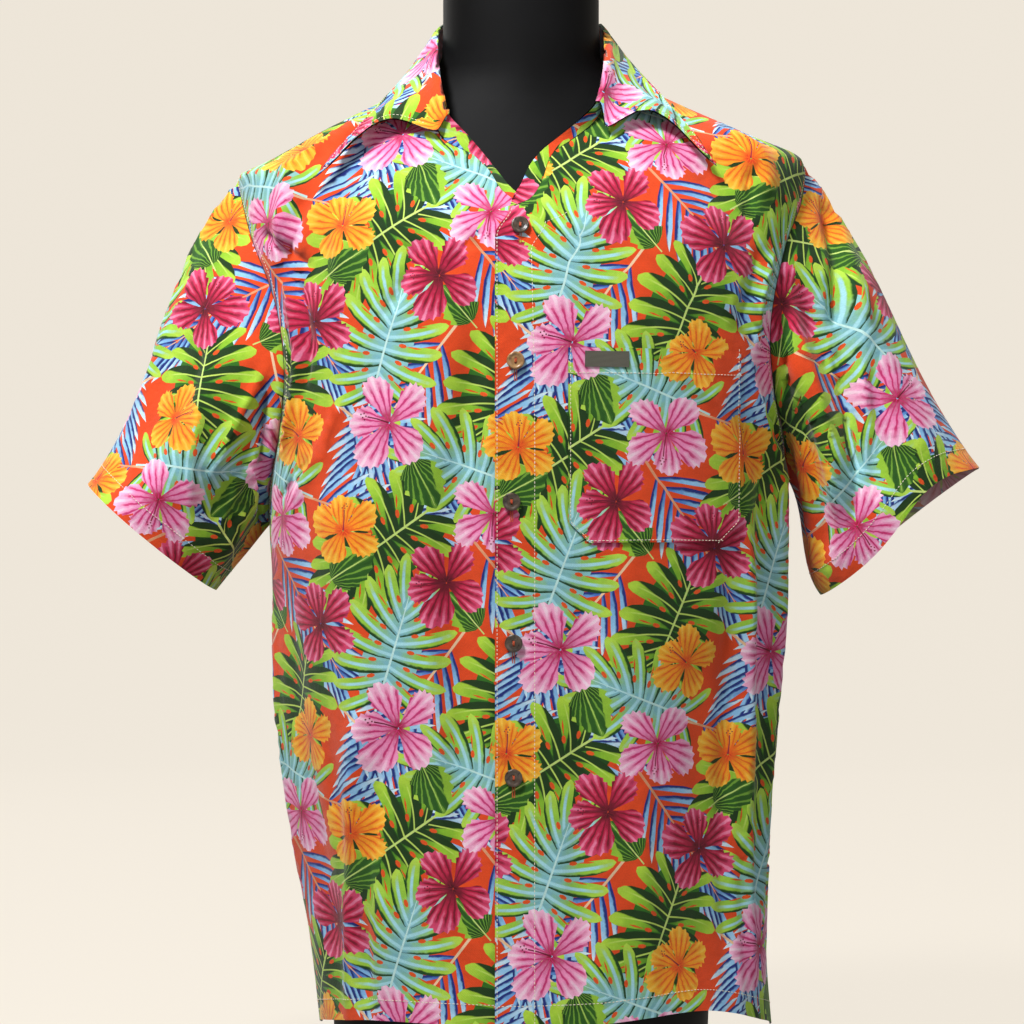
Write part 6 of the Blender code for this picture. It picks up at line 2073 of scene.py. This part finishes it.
@dataclass
class PatchPocket:
    """The patch pocket on the wearer's left front, and the bare tab at its mouth."""
    left: float = 35.0
    right: float = 168.0
    low: float = 445.0
    high: float = 592.0
    chamfer: float = 16.0
    rise: float = 1.6
    tab_box: tuple[float, float, float, float] = (47.5, 577.5, 81.0, 589.5)
    tab_rise: float = 2.4
    print_shift: tuple[float, float] = (3.0, -4.0)

    @staticmethod
    def lay(front: ClothGrid, x: np.ndarray, z: np.ndarray, rise: float) -> ClothGrid:
        """A patch laid on a front.

        Args:
            front: what it lies on.
            x: places across, seen from the front, mm.
            z: heights, mm.
            rise: how far its face stands off the front's, mm.

        Returns:
            The patch as a grid.
        """
        spots = np.stack([x, z], axis=-1).reshape(-1, 2)
        places, normals = front.under(spots)
        points = front.read(front.points, places) + normals * rise
        flat = front.read(front.flat, places)
        return ClothGrid(points.reshape(*x.shape, 3), normals.reshape(*x.shape, 3), flat.reshape(*x.shape, 2))

    def pocket(self, front: ClothGrid) -> ClothGrid:
        """The pocket, with its lower corners cut off."""
        z = np.linspace(self.low, self.high, 50)[:, None]
        inset = np.clip(self.chamfer - (z - self.low), 0, None)
        share = np.linspace(0, 1, 46)[None, :]
        x = self.left + inset + (self.right - self.left - 2 * inset) * share
        grid = self.lay(front, x, np.broadcast_to(z, x.shape), self.rise)
        grid.flat = grid.flat + self.print_shift
        return grid

    def tab(self, front: ClothGrid) -> ClothGrid:
        """The tab, folded over the pocket's mouth."""
        x0, z0, x1, z1 = self.tab_box
        x, z = np.meshgrid(np.linspace(x0, x1, 18), np.linspace(z0, z1, 8))
        return self.lay(front, x, z, self.tab_rise)


# How each piece is made up: where a corner of the repeat lies on its flat cut, its thickness,
# how it is held, and the nodes that carry it
MAKE_UP = {
    "front_right": ((-38, 20), SHIRT_CLOTH, "draped", ["dress_form"]),
    "front_left": ((-96, 78), SHIRT_CLOTH, "draped", ["dress_form"]),
    "back": ((-60, 44), SHIRT_CLOTH, "draped", ["dress_form"]),
    "sleeve_right": ((70, -30), SHIRT_CLOTH, "draped", ["front_right", "back"]),
    "sleeve_left": ((-70, -30), SHIRT_CLOTH, "draped", ["front_left", "back"]),
    "collar_stand": ((10, -120), COLLAR_CLOTH, "folded", ["front_right", "front_left", "back"]),
    "collar_leaf": ((-30, -60), COLLAR_CLOTH, "folded", ["collar_stand", "back"]),
    "pocket": ((-96, 78), POCKET_CLOTH, "laid", ["front_left"]),
    "pocket_tab": (None, TAB_CLOTH, "folded", ["pocket"]),
}


class Shirt:
    """The shirt's cloth pieces, cut from one bolt."""

    def __init__(self) -> None:
        """Print the bolt and work out every piece's grid."""
        self.bolt = Bolt(PrintRepeat())
        self.finishes = [INKS[ink].build("printed_cotton_" + ink.value) for ink in Ink]
        self.tape = WovenTab().build()
        panels = [BodyPanel(side, face) for face in Face for side in Side]
        self.grids = {panel.name: panel.build() for panel in panels}
        self.grids |= {"sleeve_" + side.word: Sleeve(side).build() for side in Side}
        collar, patch, front = Collar(), PatchPocket(), self.grids["front_left"]
        self.grids["collar_stand"] = stand = collar.stand()
        self.grids["collar_leaf"] = collar.leaf(stand)
        self.grids["pocket"], self.grids["pocket_tab"] = patch.pocket(front), patch.tab(front)

    def build(self) -> None:
        """Cut, print and put on every piece."""
        for name in MAKE_UP:
            parts = BodyPanel.names[2:] if name == "back" else (name,)
            self.dress(name, [self.grids[part] for part in parts])

    def dress(self, name: str, grids: Sequence[ClothGrid]) -> None:
        """Print a piece, close it, attach it to the body and hide the node it stands for.

        Args:
            name: the node's name.
            grids: the piece's grid, or its right and left halves.
        """
        start, cloth, held, rests_on = MAKE_UP[name]
        if start:
            halves = (1, -1) if len(grids) > 1 else (0,)
            first, *rest = (self.bolt.cut(grid, start, half) for grid, half in zip(grids, halves))
            face = first.joined(*rest) if rest else first
            piece = Shell(name + "_cloth", face, cloth, self.finishes, self.bolt.repeat.shapes).build()
        else:
            piece = Shell(name + "_tape", ClothFace.plain(grids[0]), cloth, [self.tape]).build()
        declare(piece, name)

    def seams(self) -> list[Run]:
        """Every run of topstitching that shows, with the grid lines where it starts and stops."""
        under, corner = int(UNDERARM_SHARE * PANEL_ROWS), int(FRONT_CORNER_SHARE * PANEL_ROWS)
        leaf_rows, leaf_columns = self.grids["collar_leaf"].points.shape[:2]
        first_column, last_column, first_row, last_row = Edge
        fronts, backs, sleeves = BodyPanel.names[:2], BodyPanel.names[2:], ("sleeve_right", "sleeve_left")
        rows = [(fronts[0], first_row, HEM_TURN, 12, None), (fronts[1], first_row, HEM_TURN, 0, None),
                (fronts[1], first_column, LAP_STITCH, 0, corner - 2),
                (fronts[1], first_column, PLACKET, 0, corner + 8),
                ("collar_leaf", last_row, TOP_STITCH, 2, leaf_columns - 3)]
        rows += [(name, last_column, ARM_STITCH, under, None) for name in BodyPanel.names]
        rows += [(name, first_row, HEM_TURN, 0, None) for name in backs]
        rows += [(name, last_row, TOP_STITCH, 0, None) for name in backs]
        rows += [(name, last_row, CUFF_TURN, 0, None) for name in sleeves]
        rows += [("collar_leaf", edge, TOP_STITCH, 14, leaf_rows - 4) for edge in (first_column, last_column)]
        runs = [inset_run(self.grids[name], *row) for name, *row in rows]
        pocket = self.grids["pocket"]
        return runs + [inset_run(pocket, edge, CUFF_TURN if edge is last_row else EDGE_STITCH, lift=0.12)
                       for edge in Edge]


def corners() -> list[list[float]]:
    """The whole object's lowest and highest corners, in metres."""
    return [[float(v) for v in corner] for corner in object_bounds()]


def main() -> None:
    """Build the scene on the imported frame."""
    logging.basicConfig(level=logging.INFO, format="%(name)s %(message)s")
    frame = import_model()
    Studio().build()
    DressForm().build(frame["nodes"]["dress_form"])
    shirt = Shirt()
    shirt.build()
    stitching = Stitching()
    pale, orange = PALE_THREAD.build(), ORANGE_THREAD.build()
    stitching.sew("topstitching", shirt.seams(), TOPSTITCH, pale)
    dark, light = DARK_RESIN.build(), LIGHT_RESIN.build()
    resins = {f"button_{number}": light if number == 2 else dark for number in range(1, 6)}
    holes = ShirtButton().sew_on(shirt.grids["front_left"], resins, stitching, orange)
    stitching.sew("buttonholes", holes, BUTTONHOLE, orange)


if __name__ == "__main__":
    main()
